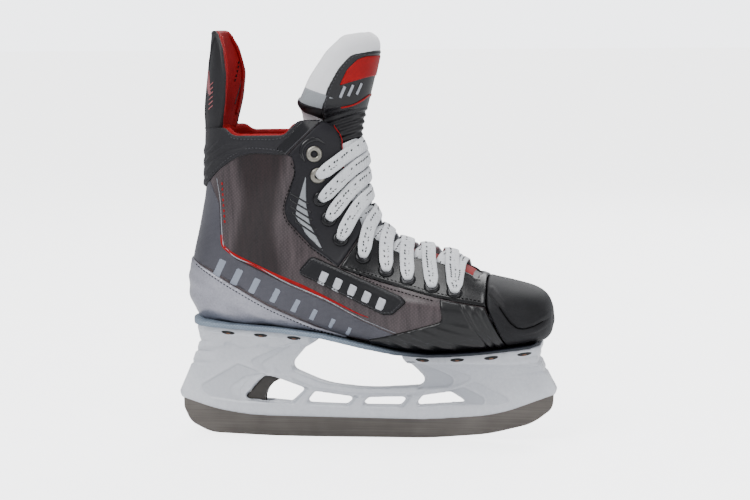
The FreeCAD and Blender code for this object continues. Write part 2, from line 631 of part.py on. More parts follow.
TRIGGER = [(-92, 30.5, 2), (-78.5, 45.5, 4), (-75.5, 54.5, 3.5), (-66.5, 54.5, 3.5), (-66.5, 47, 2),
           (-66.3, 44.5, 1), (-71.4, 41.6, 4), (-75.8, 36.6, 8), (-77.7, 31.5, 8), (-78.2, 21.6, 1),
           (-90.7, 21.6, 1.5)]
FORK = [(-100, 15), (-60, 15), (-60, 33), (-79.3, 33), (-77.6, 38, 4), (-73, 43.4, 4), (-66, 46.4),
        (-60, 47), (-60, 60), (-100, 60)]
trigger = new_body("trigger")
new_pad(trigger, "trigger_pad", new_sketch(trigger, "trigger_side", "XZ_Plane", [TRIGGER]),
        "Sizes.trigger_width")
new_pocket(trigger, "trigger_fork", new_sketch(trigger, "fork_sketch", "XZ_Plane", [FORK]),
           width="Sizes.fork_width")
new_pocket(trigger, "trigger_bore",
           new_sketch(trigger, "bore_sketch", "XZ_Plane",
                      circles=[TRIGGER_PIVOT + ("pin_hole_radius",)]))
new_pad(trigger, "latch_bar",
        new_sketch(trigger, "latch_sketch", "XZ_Plane", circles=[LATCH_BAR + ("latch_radius",)]),
        "Sizes.trigger_width")
label(trigger, "trigger")

pin = doc.addObject("Part::Cylinder", "trigger_pin")
pin.setExpression("Radius", "Sizes.pin_radius")
pin.setExpression("Height", "Sizes.rail_width + 1")
pin.Placement = FreeCAD.Placement(
    Vector(TRIGGER_PIVOT[0], (size("rail_width") + 1) / 2, TRIGGER_PIVOT[1]),
    FreeCAD.Rotation(Vector(1, 0, 0), 90))
label(pin, "trigger_pin")

# The trigger's torsion spring, wound round the pin between the fork's cheeks.
SPRING_WIRE = 0.55
SPRING_RADIUS = 2.6
SPRING_PITCH = 1.9 * SPRING_WIRE
SPRING_LEG = 7.2
coils = []
for number in (-1, 0, 1):
    coil = doc.addObject("Part::Torus", "spring_coil_%d" % (number + 1))
    coil.Radius1 = SPRING_RADIUS
    coil.Radius2 = SPRING_WIRE
    coil.Placement = FreeCAD.Placement(
        Vector(TRIGGER_PIVOT[0], number * SPRING_PITCH, TRIGGER_PIVOT[1]),
        FreeCAD.Rotation(Vector(1, 0, 0), 90))
    coils.append(coil)
leg = doc.addObject("Part::Cylinder", "spring_leg")
leg.Radius = SPRING_WIRE
leg.Height = SPRING_LEG
leg.Placement.Base = Vector(TRIGGER_PIVOT[0] + SPRING_RADIUS, 0, TRIGGER_PIVOT[1])
coils.append(leg)
spring = doc.addObject("Part::MultiFuse", "trigger_spring")
spring.Shapes = coils
label(spring, "trigger_spring")


# ---------------------------------------------------------------- lace
# One lace: a straight bar at the toe, then each end crosses over the tongue to the other side's
# next eyelet, comes out through it from inside, and so on up to the second eyelet from the top.
LACE_OUTSIDE = 2.4
LACE_INSIDE = -5.7
CROSSING_HEIGHTS = {1: 2.2, -1: 5.6}
TOP_LACED_ROW = 1
TOE_ROW = len(EYELETS) - 1
ARC_SHARE = 0.45
# The tucked end's last two points: forward of the top laced eyelet, off the middle, and up.
TUCK = ((17, 9, 2), (14, -8, 4))


def through(row, side, height):
    point, normal = holes[row, side]
    return point + normal * height


def crossing(row_from, row_to, height):
    """The point over the boot's crest half-way between two rows, at a height above the surface."""
    a, normal_a = holes[row_from, 1]
    b, normal_b = holes[row_to, 1]
    middle = Vector((a.x + b.x) / 2, 0, (a.z + b.z) / 2)
    outward = Vector(normal_a.x + normal_b.x, 0, normal_a.z + normal_b.z).normalize()
    ray = Part.makeLine(middle, middle + outward * FAR).common(boot(0.0))
    crest = max((v.Point for v in ray.Vertexes), key=lambda p: p.distanceToPoint(middle))
    return crest + outward * height


def strand(side):
    """One half of the lace, from the toe bar's eyelet to where its end is tucked in."""
    height = CROSSING_HEIGHTS[side]
    route = [through(TOE_ROW, side, LACE_OUTSIDE), through(TOE_ROW, side, LACE_INSIDE)]
    here = side
    for row in range(TOE_ROW - 1, TOP_LACED_ROW - 1, -1):
        route.append(crossing(row + 1, row, height))
        here = -here
        route += [through(row, here, LACE_INSIDE), through(row, here, LACE_OUTSIDE)]
    top, _ = holes[TOP_LACED_ROW, here]
    route += [Vector(top.x + ahead, here * across, top.z + up) for ahead, across, up in TUCK]
    return route


def cord_path(route):
    """Straight runs joined by tangent arcs, each as large as its two runs allow."""
    edges = []
    cursor = route[0]
    radii = []
    for before, point, after in zip(route, route[1:], route[2:]):
        shorter = min(before.distanceToPoint(point), point.distanceToPoint(after))
        half_turn = (point - before).getAngle(after - point) / 2
        radius = ARC_SHARE * shorter / math.tan(half_turn)
        first, middle, last = corner_arc(before, point, after, radius)
        edges += [Part.makeLine(cursor, first), Part.Arc(first, middle, last).toShape()]
        cursor = last
        radii.append(radius)
    edges.append(Part.makeLine(cursor, route[-1]))
    return Part.Wire(edges), radii


toe_bar = crossing(TOE_ROW, TOE_ROW, CROSSING_HEIGHTS[1])
lace_route = strand(-1)[::-1] + [toe_bar] + strand(1)
lace_path, lace_radii = cord_path(lace_route)
start_direction = (lace_route[1] - lace_route[0]).normalize()
lace_section = Part.Wire([Part.Circle(lace_route[0], start_direction, size("lace_radius")).toShape()])
lace = lace_path.makePipeShell([lace_section], True, False)
expected = lace_path.Length * math.pi * size("lace_radius") ** 2
print("lace length %.0f mm, volume ratio %.4f" % (lace_path.Length, lace.Volume / expected))
print("lace radii: " + " ".join("%.1f" % radius for radius in lace_radii))
feature("lace", lace)

# ---------------------------------------------------------------- check and write
doc.recompute()
for obj in doc.Objects:
    if {"Invalid", "Error"} & set(obj.State):
        raise RuntimeError("%s failed: %s" % (obj.Label, obj.State))
for obj in SUBPARTS:
    if obj.Shape.isNull() or not obj.Shape.isValid():
        raise RuntimeError(obj.Label + " has no valid shape")
os.makedirs("parts", exist_ok=True)
for obj in SUBPARTS:
    obj.Shape.exportStep("parts/%s.step" % obj.Label)
    box = obj.Shape.BoundBox
    print("%-24s %9.0f mm3  solids %2d  x %7.1f %7.1f  y %6.1f %6.1f  z %6.1f %6.1f" % (
        obj.Label, obj.Shape.Volume, len(obj.Shape.Solids),
        box.XMin, box.XMax, box.YMin, box.YMax, box.ZMin, box.ZMax))
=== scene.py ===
import math
import random

import bmesh
import bpy
import numpy as np
from mathutils import Matrix, Vector
from mathutils.bvhtree import BVHTree


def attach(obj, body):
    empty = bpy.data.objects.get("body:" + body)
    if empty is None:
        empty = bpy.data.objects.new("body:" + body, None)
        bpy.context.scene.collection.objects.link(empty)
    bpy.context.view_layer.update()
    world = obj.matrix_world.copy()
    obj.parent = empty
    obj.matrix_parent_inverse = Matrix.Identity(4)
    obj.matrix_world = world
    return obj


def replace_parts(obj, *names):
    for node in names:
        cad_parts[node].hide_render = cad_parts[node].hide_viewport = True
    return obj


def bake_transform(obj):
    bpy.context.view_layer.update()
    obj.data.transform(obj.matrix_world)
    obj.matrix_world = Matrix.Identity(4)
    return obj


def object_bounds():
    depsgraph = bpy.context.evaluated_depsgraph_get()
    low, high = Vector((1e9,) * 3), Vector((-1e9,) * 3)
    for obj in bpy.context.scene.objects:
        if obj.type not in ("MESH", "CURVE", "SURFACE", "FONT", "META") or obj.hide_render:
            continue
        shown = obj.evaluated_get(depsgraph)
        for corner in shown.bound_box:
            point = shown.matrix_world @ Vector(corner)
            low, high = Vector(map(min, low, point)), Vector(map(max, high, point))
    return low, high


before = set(bpy.data.objects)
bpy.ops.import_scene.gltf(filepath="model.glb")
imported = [obj for obj in bpy.data.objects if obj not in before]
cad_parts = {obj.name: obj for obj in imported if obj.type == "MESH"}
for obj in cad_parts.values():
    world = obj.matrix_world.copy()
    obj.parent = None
    obj.data.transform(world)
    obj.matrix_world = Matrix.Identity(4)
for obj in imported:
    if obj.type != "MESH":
        bpy.data.objects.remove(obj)

CAD_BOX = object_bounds()
MM = 0.001
SIDES = (("lateral", -1), ("medial", 1))

# Lengths below are millimetres in the CAD frame, and are turned into metres when a mesh is made.


# ---------------------------------------------------------------- outlines
CORNER_STEP = 1.0


def rounded(corners):
    """Points of a closed outline. A corner is (a, b) or (a, b, radius)."""
    points = []
    count = len(corners)
    for index, corner in enumerate(corners):
        point = np.array(corner[:2], float)
        if len(corner) < 3:
            points.append(point)
            continue
        to_before = np.array(corners[index - 1][:2], float) - point
        to_after = np.array(corners[(index + 1) % count][:2], float) - point
        to_before /= np.linalg.norm(to_before)
        to_after /= np.linalg.norm(to_after)
        half = math.acos(np.clip(to_before @ to_after, -1, 1)) / 2
        reach = corner[2] / math.tan(half)
        bisector = (to_before + to_after) / np.linalg.norm(to_before + to_after)
        centre = point + bisector * corner[2] / math.sin(half)
        first, last = point + to_before * reach, point + to_after * reach
        turn = math.pi - 2 * half
        steps = max(3, int(corner[2] * turn / CORNER_STEP))
        from_a, from_b = first - centre, last - centre
        for k in range(steps + 1):
            share = k / steps
            arm = (math.sin((1 - share) * turn) * from_a + math.sin(share * turn) * from_b)
            points.append(centre + arm / math.sin(turn))
    return np.array(points)


def inside(outline, a, b):
    """Signed distance from each (a, b) to a closed outline of corners: positive inside."""
    points = rounded(outline)
    best = np.full(np.shape(a), 1e9)
    within = np.zeros(np.shape(a), bool)
    for p, q in zip(points, np.roll(points, -1, axis=0)):
        edge = q - p
        share = ((a - p[0]) * edge[0] + (b - p[1]) * edge[1]) / max(edge @ edge, 1e-12)
        share = np.clip(share, 0, 1)
        away = np.hypot(a - p[0] - share * edge[0], b - p[1] - share * edge[1])
        best = np.minimum(best, away)
        if p[1] != q[1]:
            crosses = (p[1] > b) != (q[1] > b)
            at = p[0] + (b - p[1]) * edge[0] / edge[1]
            within ^= crosses & (a < at)
    return np.where(within, best, -best)


def smooth(value, low, high):
    """0 below low, 1 above high, and a soft step between."""
    share = np.clip((value - low) / (high - low), 0, 1)
    return share * share * (3 - 2 * share)


def unit(vectors):
    return vectors / np.maximum(np.linalg.norm(vectors, axis=-1, keepdims=True), 1e-9)


def run_along(points):
    """How far along an open line each of its points is."""
    return np.concatenate([[0], np.cumsum(np.linalg.norm(np.diff(points, axis=0), axis=1))])


# ---------------------------------------------------------------- the boot's surface
# Ribs from the toe's nose round the heel to the cuff's top: crest (x, z), base (x, z), half width,
# sideways shift, roundness at crest and base, and the share of the width left at the crest.
RIBS = [
    (142.3, 93.5, 142.3, 91.5, 0.3, 4.5, 2.0, 2.0, 1.0),
    (141.8, 97, 141.4, 88, 6, 4.5, 2.0, 2.0, 1.0),
    (140.3, 104.5, 139.6, 82, 17, 4.5, 2.0, 2.2, 1.0),
    (136, 112, 135, 78, 26, 4.2, 2.1, 2.6, 1.0),
    (127, 117.6, 127, 76.6, 34.5, 3.6, 2.2, 3.2, 0.95),
    (111, 122, 112, 75.2, 42, 2.8, 2.2, 3.8, 0.88),
    (91, 127, 93, 73.4, 47, 1.6, 2.4, 4.2, 0.72),
    (74, 136, 73, 72, 49, 0.4, 3.2, 4.4, 0.5),
    (54, 142.5, 52, 71, 49.5, 0, 3.8, 4.4, 0.45),
    (34, 147, 28, 72.2, 48, 0, 3.8, 4.4, 0.45),
    (17, 156, 2, 76.5, 45, 0, 3.5, 4.2, 0.5),
    (7, 168, -28, 82.5, 41, 0, 3.0, 4.0, 0.55),
    (2, 181, -62, 86.2, 37.5, 0, 2.7, 3.8, 0.65),
    (-0.5, 193, -98, 88.2, 35.5, 0, 2.6, 3.4, 0.75),
    (-1.5, 202, -123, 91, 35, 0, 2.5, 2.8, 0.85),
    (-2, 209, -133.5, 104, 35.5, 0, 2.5, 2.4, 0.95),
    (-3, 216, -135.8, 120, 36.5, 0, 2.5, 2.2, 1.0),
    (-5, 223, -132.6, 141, 38, 0, 2.6, 2.1, 1.0),
    (-8, 230, -127.2, 164, 39, 0, 2.6, 2.1, 1.0),
    (-13, 237, -122.6, 190, 39, 0, 2.6, 2.1, 1.0),
    (-20, 244, -121.6, 216, 38.5, 0, 2.6, 2.1, 1.0),
    (-27, 252, -120, 252, 38.5, 0, 2.6, 2.1, 1.0),
]
PROFILE_SAMPLES = 900


def eased_rows(table, rows_per_step):
    """Rows between a table's rows, on a Catmull-Rom curve."""
    table = np.array(table, float)
    padded = np.vstack([2 * table[0] - table[1], table, 2 * table[-1] - table[-2]])
    rows = []
    for k in range(len(table) - 1):
        a, b, c, d = padded[k:k + 4]
        for share in np.arange(rows_per_step) / rows_per_step:
            rows.append(0.5 * (2 * b + (c - a) * share + (2 * a - 5 * b + 4 * c - d) * share ** 2
                               + (3 * b - a - 3 * c + d) * share ** 3))
    rows.append(table[-1])
    return np.array(rows)


def boot_grid(rows_per_rib=22, half_columns=118):
    """The boot's surface as rows by columns, columns from the base round the lateral side, over
    the crest and down the medial side."""
    rows = eased_rows(RIBS, rows_per_rib)
    turn = np.linspace(0, math.pi, PROFILE_SAMPLES)
    cosine, sine = np.cos(turn), np.sin(turn)
    grid = []
    for cx, cz, bx, bz, half_width, shift, round_crest, round_base, crest_share in rows:
        power = 2 / (round_crest + (round_base - round_crest) * (1 - cosine) / 2)
        down = (1 - np.sign(cosine) * np.abs(cosine) ** power) / 2
        rise = np.minimum(1, 2 * down)
        share = crest_share + (1 - crest_share) * rise * rise * (3 - 2 * rise)
        across = half_width * share * np.abs(sine) ** power
        x = cx + (bx - cx) * down
        z = cz + (bz - cz) * down
        run = run_along(np.column_stack([x, z, across]))
        even = np.linspace(0, run[-1], half_columns + 1)
        ex, ez, ea = (np.interp(even, run, v) for v in (x, z, across))
        medial = np.column_stack([ex, shift + ea, ez])
        lateral = np.column_stack([ex, shift - ea, ez])
        grid.append(np.vstack([lateral[::-1], medial[1:]]))
    return np.array(grid)


class Sheet:
    """Points, normals and triangles of a fine sheet."""

    def __init__(self, points, normals, faces, edge=None):
        self.points, self.normals, self.faces = points, normals, faces
        self.edge = edge if edge is not None else np.full(len(points), 1e3)

    def clipped(self, keep):
        """The part where keep, a signed distance in mm, is positive. It becomes the edge distance."""
        keep = np.asarray(keep, float)
        positive = keep >= 0
        count = positive[self.faces].sum(axis=1)
        whole = self.faces[count == 3]
        cut = self.faces[(count == 1) | (count == 2)]
        lone_sign = positive[cut].sum(axis=1) == 1
        lone = np.argmax(positive[cut] == lone_sign[:, None], axis=1)
        row = np.arange(len(cut))
        a, b, c = cut[row, lone], cut[row, (lone + 1) % 3], cut[row, (lone + 2) % 3]
        pairs = np.sort(np.vstack([np.column_stack([a, b]), np.column_stack([a, c])]), axis=1)
        edges, where = np.unique(pairs, axis=0, return_inverse=True)
        where = where.ravel()
        share = (keep[edges[:, 0]] / (keep[edges[:, 0]] - keep[edges[:, 1]]))[:, None]

        def between(values):
            return values[edges[:, 0]] * (1 - share) + values[edges[:, 1]] * share

        base = len(self.points)
        ab, ac = where[:len(cut)] + base, where[len(cut):] + base
        tips = np.column_stack([a, ab, ac])[lone_sign]
        first = np.column_stack([ab, b, c])[~lone_sign]
        second = np.column_stack([ab, c, ac])[~lone_sign]
        points = np.vstack([self.points, between(self.points)])
        normals = np.vstack([self.normals, between(self.normals)])
        edge = np.concatenate([np.minimum(keep, self.edge), np.zeros(len(edges))])
        faces = np.vstack([whole, tips, first, second])
        used, renumbered = np.unique(faces, return_inverse=True)
        return Sheet(points[used], normals[used], renumbered.reshape(-1, 3), edge[used])

    def lifted(self, height):
        height = np.asarray(height, float)
        return self.points + self.normals * (height[:, None] if height.ndim else height)


def grid_sheet(points, spot, way):
    """A sheet through a grid of points, whose normals point the given way at one spot."""
    normals = unit(np.cross(np.gradient(points, axis=0), np.gradient(points, axis=1)))
    if normals[spot] @ way < 0:
        normals = -normals
    index = np.arange(len(points) * len(points[0])).reshape(points.shape[:2])
    a, b = index[:-1, :-1].ravel(), index[:-1, 1:].ravel()
    c, d = index[1:, 1:].ravel(), index[1:, :-1].ravel()
    faces = np.vstack([np.column_stack([a, b, c]), np.column_stack([a, c, d])])
    return Sheet(points.reshape(-1, 3), normals.reshape(-1, 3), faces)


def linked(name, data):
    obj = bpy.data.objects.new(name, data)
    bpy.context.scene.collection.objects.link(obj)
    return obj


def mesh_object(name, points, faces, material, body=None, shade=True):
    """A mesh piece from points in mm."""
    mesh = bpy.data.meshes.new(name)
    mesh.from_pydata((np.asarray(points) * MM).tolist(), [], [list(map(int, f)) for f in faces])
    mesh.validate()
    if shade:
        mesh.shade_smooth()
    mesh.materials.append(material)
    obj = linked(name, mesh)
    if body:
        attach(obj, body)
    return obj


def tree_of(sheet):
    return BVHTree.FromPolygons(sheet.points.tolist(), sheet.faces.tolist())


LATERAL_SPOT, COARSE_SPOT = (200, 60), (126, 36)
BOOT_GRID = boot_grid()
BOOT = grid_sheet(BOOT_GRID, LATERAL_SPOT, (0, -1, 0))
BOOT_NORMALS = BOOT.normals.reshape(BOOT_GRID.shape)
BOOT_TREE = tree_of(BOOT)
# A coarser sheet of the same surface, for the thick layers.
COARSE_BOOT = grid_sheet(boot_grid(12, 72), COARSE_SPOT, (0, -1, 0))


def on_tree(tree, x, z, side, lift=0.0):
    """A surface's point at x, z on one side, lifted, and the outward normal."""
    hit, normal, _, _ = tree.ray_cast(Vector((x, side * 90, z)), Vector((0, -side, 0)))
    if hit is None:
        return None, None
    if normal.y * side < 0:
        normal = -normal
    return np.array(hit) + np.array(normal) * lift, np.array(normal)


# ---------------------------------------------------------------- materials
# Noise scales are waves per millimetre. SLOW is the one of the large, faint patches of colour.
SLOW = 0.02


def new_material(name):
    material = bpy.data.materials.new(name)
    material.use_nodes = True
    return material, material.node_tree, material.node_tree.nodes["Principled BSDF"]


def feed(tree, node, inputs):
    """Link or set a node's inputs."""
    for key, value in inputs.items():
        if hasattr(value, "is_linked"):
            tree.links.new(value, node.inputs[key])
        else:
            node.inputs[key].default_value = value


def finish_with(tree, shader, color, height, depth, **values):
    """Base colour, bump of a depth in mm and the other inputs of a surface."""
    normal = add(tree, "ShaderNodeBump", {"Height": height, "Distance": depth * MM}).outputs[0]
    feed(tree, shader, {"Base Color": color, "Normal": normal})
    feed(tree, shader, {key.replace("_", " "): value for key, value in values.items()})


def add(tree, kind, inputs=(), **settings):
    node = tree.nodes.new(kind)
    for key, value in settings.items():
        setattr(node, key, value)
    feed(tree, node, dict(inputs))
    return node


def position(tree, scale=(1, 1, 1), turn=0.0):
    """Object coordinates in millimetres, scaled, and turned about Y."""
    where = add(tree, "ShaderNodeTexCoord").outputs["Object"]
    return add(tree, "ShaderNodeMapping", {"Vector": where, "Rotation": (0, turn, 0),
                                           "Scale": [1000 * s for s in scale]}).outputs[0]


def noise(tree, vector, scale, detail=3.0, roughness=0.55):
    return add(tree, "ShaderNodeTexNoise", {"Vector": vector, "Scale": scale, "Detail": detail,
                                            "Roughness": roughness}).outputs["Fac"]


def crossed(tree, vector, scale, distortion):
    """Threads or tows that run both ways: the product of two wave patterns."""
    return maths(tree, "MULTIPLY", *[
        add(tree, "ShaderNodeTexWave", {"Vector": vector, "Scale": scale, "Distortion": distortion},
            bands_direction=way, wave_profile="SIN").outputs["Fac"] for way in "XZ"])


def maths(tree, operation, a, b=0.0, clamp=False):
    return add(tree, "ShaderNodeMath", {0: a, 1: b}, operation=operation, use_clamp=clamp).outputs[0]


def total(tree, a, share_a, b, share_b):
    return maths(tree, "ADD", maths(tree, "MULTIPLY", a, share_a), maths(tree, "MULTIPLY", b, share_b))


def ramp(tree, factor, low, dark, high, light):
    node = add(tree, "ShaderNodeValToRGB", {"Fac": factor})
    for element, at, color in zip(node.color_ramp.elements, (low, high), (dark, light)):
        element.position, element.color = at, rgba(color)
    return node.outputs["Color"]


def mixed(tree, factor, a, b):
    return add(tree, "ShaderNodeMix", {0: factor, 6: a, 7: b}, data_type="RGBA").outputs[2]


def rgba(values):
    """Linear colour from sRGB bytes."""
    return (*((v / 255) / 12.92 if v < 11 else ((v / 255 + 0.055) / 1.055) ** 2.4 for v in values), 1)


def gloss_between(tree, value, low, high, rough):
    return add(tree, "ShaderNodeMapRange", {"Value": value, "From Min": low, "From Max": high,
                                            "To Min": rough[0], "To Max": rough[1]}).outputs[0]


def grained(name, dark, light, rough=(0.4, 0.6), grain=0.5, depth=0.05, metal=0.0, specular=0.5,
            coat=0.0):
    """A moulded or coated surface: fine grain, slow colour patches and uneven gloss."""
    material, tree, shader = new_material(name)
    where = position(tree)
    fine = noise(tree, where, grain, 4, 0.65)
    tone = total(tree, noise(tree, where, SLOW, 4), 0.6, fine, 0.4)
    finish_with(tree, shader, ramp(tree, tone, 0.3, dark, 0.7, light), fine, depth, Metallic=metal,
                Roughness=gloss_between(tree, tone, 0.3, 0.7, rough), Specular_IOR_Level=specular,
                Coat_Weight=coat)
    return material


def woven(name, dark, light, pitch=0.8, depth=0.08, rough=0.8, sheen=0.3, turn=0.0, coat=0.0,
          specular=0.3):
    """A fine cloth: two crossed thread directions, with slow colour variation."""
    material, tree, shader = new_material(name)
    where = position(tree, turn=turn)
    weave = crossed(tree, where, 0.31 / pitch, 0.6)
    height = total(tree, weave, 0.6, noise(tree, where, 1.6, 3, 0.7), 0.5)
    tone = total(tree, height, 0.6, noise(tree, where, 0.025, 3), 0.45)
    finish_with(tree, shader, ramp(tree, tone, 0.2, dark, 0.75, light), height, depth, Roughness=rough,
                Sheen_Weight=sheen, Coat_Weight=coat, Specular_IOR_Level=specular)
    return material


def brushed(name, dark, light, rough=(0.25, 0.45)):
    """Ground metal with fine scratches along X."""
    material, tree, shader = new_material(name)
    scratches = noise(tree, position(tree, (0.01, 1, 1)), 1.2, 5, 0.7)
    tone = total(tree, scratches, 0.5, noise(tree, position(tree), SLOW, 3), 0.5)
    finish_with(tree, shader, ramp(tree, tone, 0.3, dark, 0.7, light), scratches, 0.02, Metallic=1.0,
                Roughness=gloss_between(tree, scratches, 0.0, 1.0, rough))
    return material


def composite_shell(name, dark, light):
    """Brown-grey composite with a glossy film: diagonal weave, and a dark zone under the ankle."""
    material, tree, shader = new_material(name)
    weave = crossed(tree, position(tree, turn=math.radians(38)), 0.16, 0.8)
    streak = noise(tree, position(tree, (1.2, 1.2, 0.12), math.radians(25)), 0.25, 4, 0.6)
    tone = total(tree, weave, 0.2, streak, 0.85)
    upper = ramp(tree, tone, 0.25, dark, 0.75, light)
    deep = ramp(tree, tone, 0.2, (11, 6, 8), 0.8, (42, 26, 28))
    zone = add(tree, "ShaderNodeAttribute", attribute_name="dark_zone").outputs["Fac"]
    finish_with(tree, shader, mixed(tree, zone, upper, deep), weave, 0.05, Roughness=0.4,
                Specular_IOR_Level=0.35, Coat_Weight=0.2, Coat_Roughness=0.2)
    return material


# Each finish: maker, material name, slot in the record, dark and light colour, settings.
FINISHES = {
    "shell": (composite_shell, "shell_composite", "shell_knit", (46, 39, 41), (84, 73, 75)),
    "knit": (woven, "knit_grey", "shell_knit", (44, 43, 49), (92, 92, 101),
             dict(pitch=0.9, rough=0.5, sheen=0.05, coat=0.15)),
    "facing": (grained, "facing_black", "facing_black", (17, 17, 20), (34, 33, 38),
               dict(rough=(0.42, 0.6), grain=0.9, specular=0.25)),
    "facing_gloss": (grained, "facing_gloss", "facing_black", (8, 8, 9), (19, 19, 21),
                     dict(rough=(0.18, 0.34), grain=0.5, depth=0.02, specular=0.4)),
    "patent": (grained, "patent_black", "facing_black", (10, 10, 12), (24, 24, 28),
               dict(rough=(0.1, 0.2), depth=0.01)),
    "collar": (woven, "collar_cloth", "collar_fabric", (18, 18, 21), (40, 39, 43),
               dict(pitch=0.7, sheen=0.05, rough=0.6)),
    # Painted shadow for the shaded bottom of the toe cap's groove.
    "groove": (grained, "groove_dark", "toe_plastic", (1, 1, 1), (5, 5, 5),
               dict(rough=(0.7, 0.9), specular=0.1)),
    "toe": (grained, "toe_grain", "toe_plastic", (8, 8, 9), (40, 40, 43),
            dict(rough=(0.45, 0.65), grain=1.6, depth=0.12, specular=0.22)),
    "heel": (grained, "heel_silver", "heel_silver", (120, 120, 130), (182, 182, 192),
             dict(rough=(0.25, 0.4), metal=0.35, grain=0.7, depth=0.03)),
    "panel": (grained, "panel_black", "panel_black", (7, 7, 8), (17, 17, 19),
              dict(rough=(0.26, 0.4), grain=0.6, specular=0.5)),
    "badge": (grained, "badge_black", "badge_black", (12, 12, 14), (26, 26, 30),
              dict(rough=(0.3, 0.45), grain=1.2, specular=0.35)),
    "badge_mark": (grained, "badge_mark", "heel_silver", (168, 170, 176), (206, 208, 214),
                   dict(rough=(0.35, 0.5), depth=0.02)),
    "stitch": (woven, "stitch_thread", "tongue_black", (40, 40, 42), (80, 80, 84),
               dict(pitch=0.3, depth=0.03, sheen=0.0)),
    "stitch_dark": (woven, "stitch_dark", "facing_black", (6, 6, 7), (20, 20, 22),
                    dict(pitch=0.3, depth=0.03, sheen=0.0, specular=0.15)),
    "red": (grained, "red_film", "lining_red", (112, 1, 4), (168, 4, 10),
            dict(rough=(0.35, 0.5), depth=0.02, specular=0.2)),
    "silver": (grained, "silver_film", "heel_silver", (120, 122, 130), (180, 183, 190),
               dict(rough=(0.2, 0.35), metal=0.6, depth=0.02)),
    "pale": (woven, "pale_print", "heel_silver", (116, 122, 136), (160, 168, 182),
             dict(pitch=0.8, rough=0.5, sheen=0.1)),
    "lining": (woven, "lining_red", "lining_red", (104, 1, 5), (168, 5, 12),
               dict(pitch=0.6, sheen=0.0, rough=0.6, specular=0.15)),
    "wedge": (grained, "wedge_pink", "guard_lining_red", (120, 62, 66), (160, 92, 96),
              dict(rough=(0.35, 0.5), depth=0.02)),
    "guard_in": (woven, "guard_red", "guard_lining_red", (100, 1, 5), (172, 6, 14),
                 dict(pitch=0.7, sheen=0.0, rough=0.55, specular=0.2)),
    "guard_out": (grained, "guard_black", "guard_black", (12, 12, 14), (36, 35, 38),
                  dict(rough=(0.4, 0.6), grain=1.2, specular=0.3)),
    "felt": (woven, "felt_white", "felt_white", (232, 232, 236), (252, 252, 253),
             dict(pitch=0.5, depth=0.12, sheen=0.6, rough=0.95)),
    "tongue": (grained, "tongue_black", "tongue_black", (14, 14, 16), (32, 31, 34),
               dict(rough=(0.28, 0.45), grain=1.0, specular=0.4)),
    "label": (woven, "label_grey", "felt_white", (120, 124, 128), (168, 172, 176),
              dict(pitch=0.4, sheen=0.1)),
    "lace": (woven, "lace_white", "lace_white", (186, 190, 197), (250, 251, 252),
             dict(pitch=1.0, depth=0.35, sheen=0.2, rough=0.9)),
    "fleck": (woven, "lace_fleck", "collar_fabric", (10, 10, 12), (34, 34, 38),
              dict(pitch=0.4, depth=0.1)),
    "pewter": (brushed, "eyelet_pewter", "eyelet_pewter", (110, 107, 98), (168, 165, 156)),
    "black_metal": (grained, "eyelet_black", "eyelet_black", (14, 14, 15), (40, 40, 43),
                    dict(rough=(0.15, 0.3), metal=0.5)),
    # Painted shadow: near-black colour for the shade inside the rivet pockets' deep holes.
    "pocket": (grained, "pocket_dark", "trigger_plastic", (14, 13, 13), (30, 28, 28),
               dict(rough=(0.5, 0.7))),
    "holder": (grained, "holder_white", "holder_plastic", (196, 199, 206), (226, 228, 233),
               dict(rough=(0.26, 0.36), grain=0.4, depth=0.02, coat=0.15)),
    "steel": (brushed, "runner_steel", "runner_steel", (84, 80, 76), (122, 117, 112),
              dict(rough=(0.28, 0.42))),
    "trigger": (grained, "trigger_brown", "trigger_plastic", (34, 31, 28), (62, 58, 53),
                dict(rough=(0.35, 0.5))),
    "pin": (brushed, "pin_steel", "pin_steel", (120, 120, 120), (170, 170, 170)),
    "copper": (brushed, "rivet_copper", "rivet_copper", (112, 80, 64), (150, 112, 92)),
    "outsole": (woven, "outsole_composite", "outsole_composite", (92, 104, 118), (146, 160, 175),
                dict(pitch=1.6, depth=0.03, rough=0.4, sheen=0.0, turn=0.785)),
    "board": (grained, "board_fibre", "board", (130, 122, 108), (160, 150, 134),
              dict(rough=(0.7, 0.9), grain=1.5)),
    "foam": (woven, "footbed_cloth", "foam", (40, 40, 44), (74, 74, 80), dict(pitch=0.7)),
}
M, SLOT_OF = {}, {}
for key, (maker, name, slot, dark, light, *settings) in FINISHES.items():
    M[key] = maker(name, dark, light, **(settings[0] if settings else {}))
    SLOT_OF[M[key].name] = slot


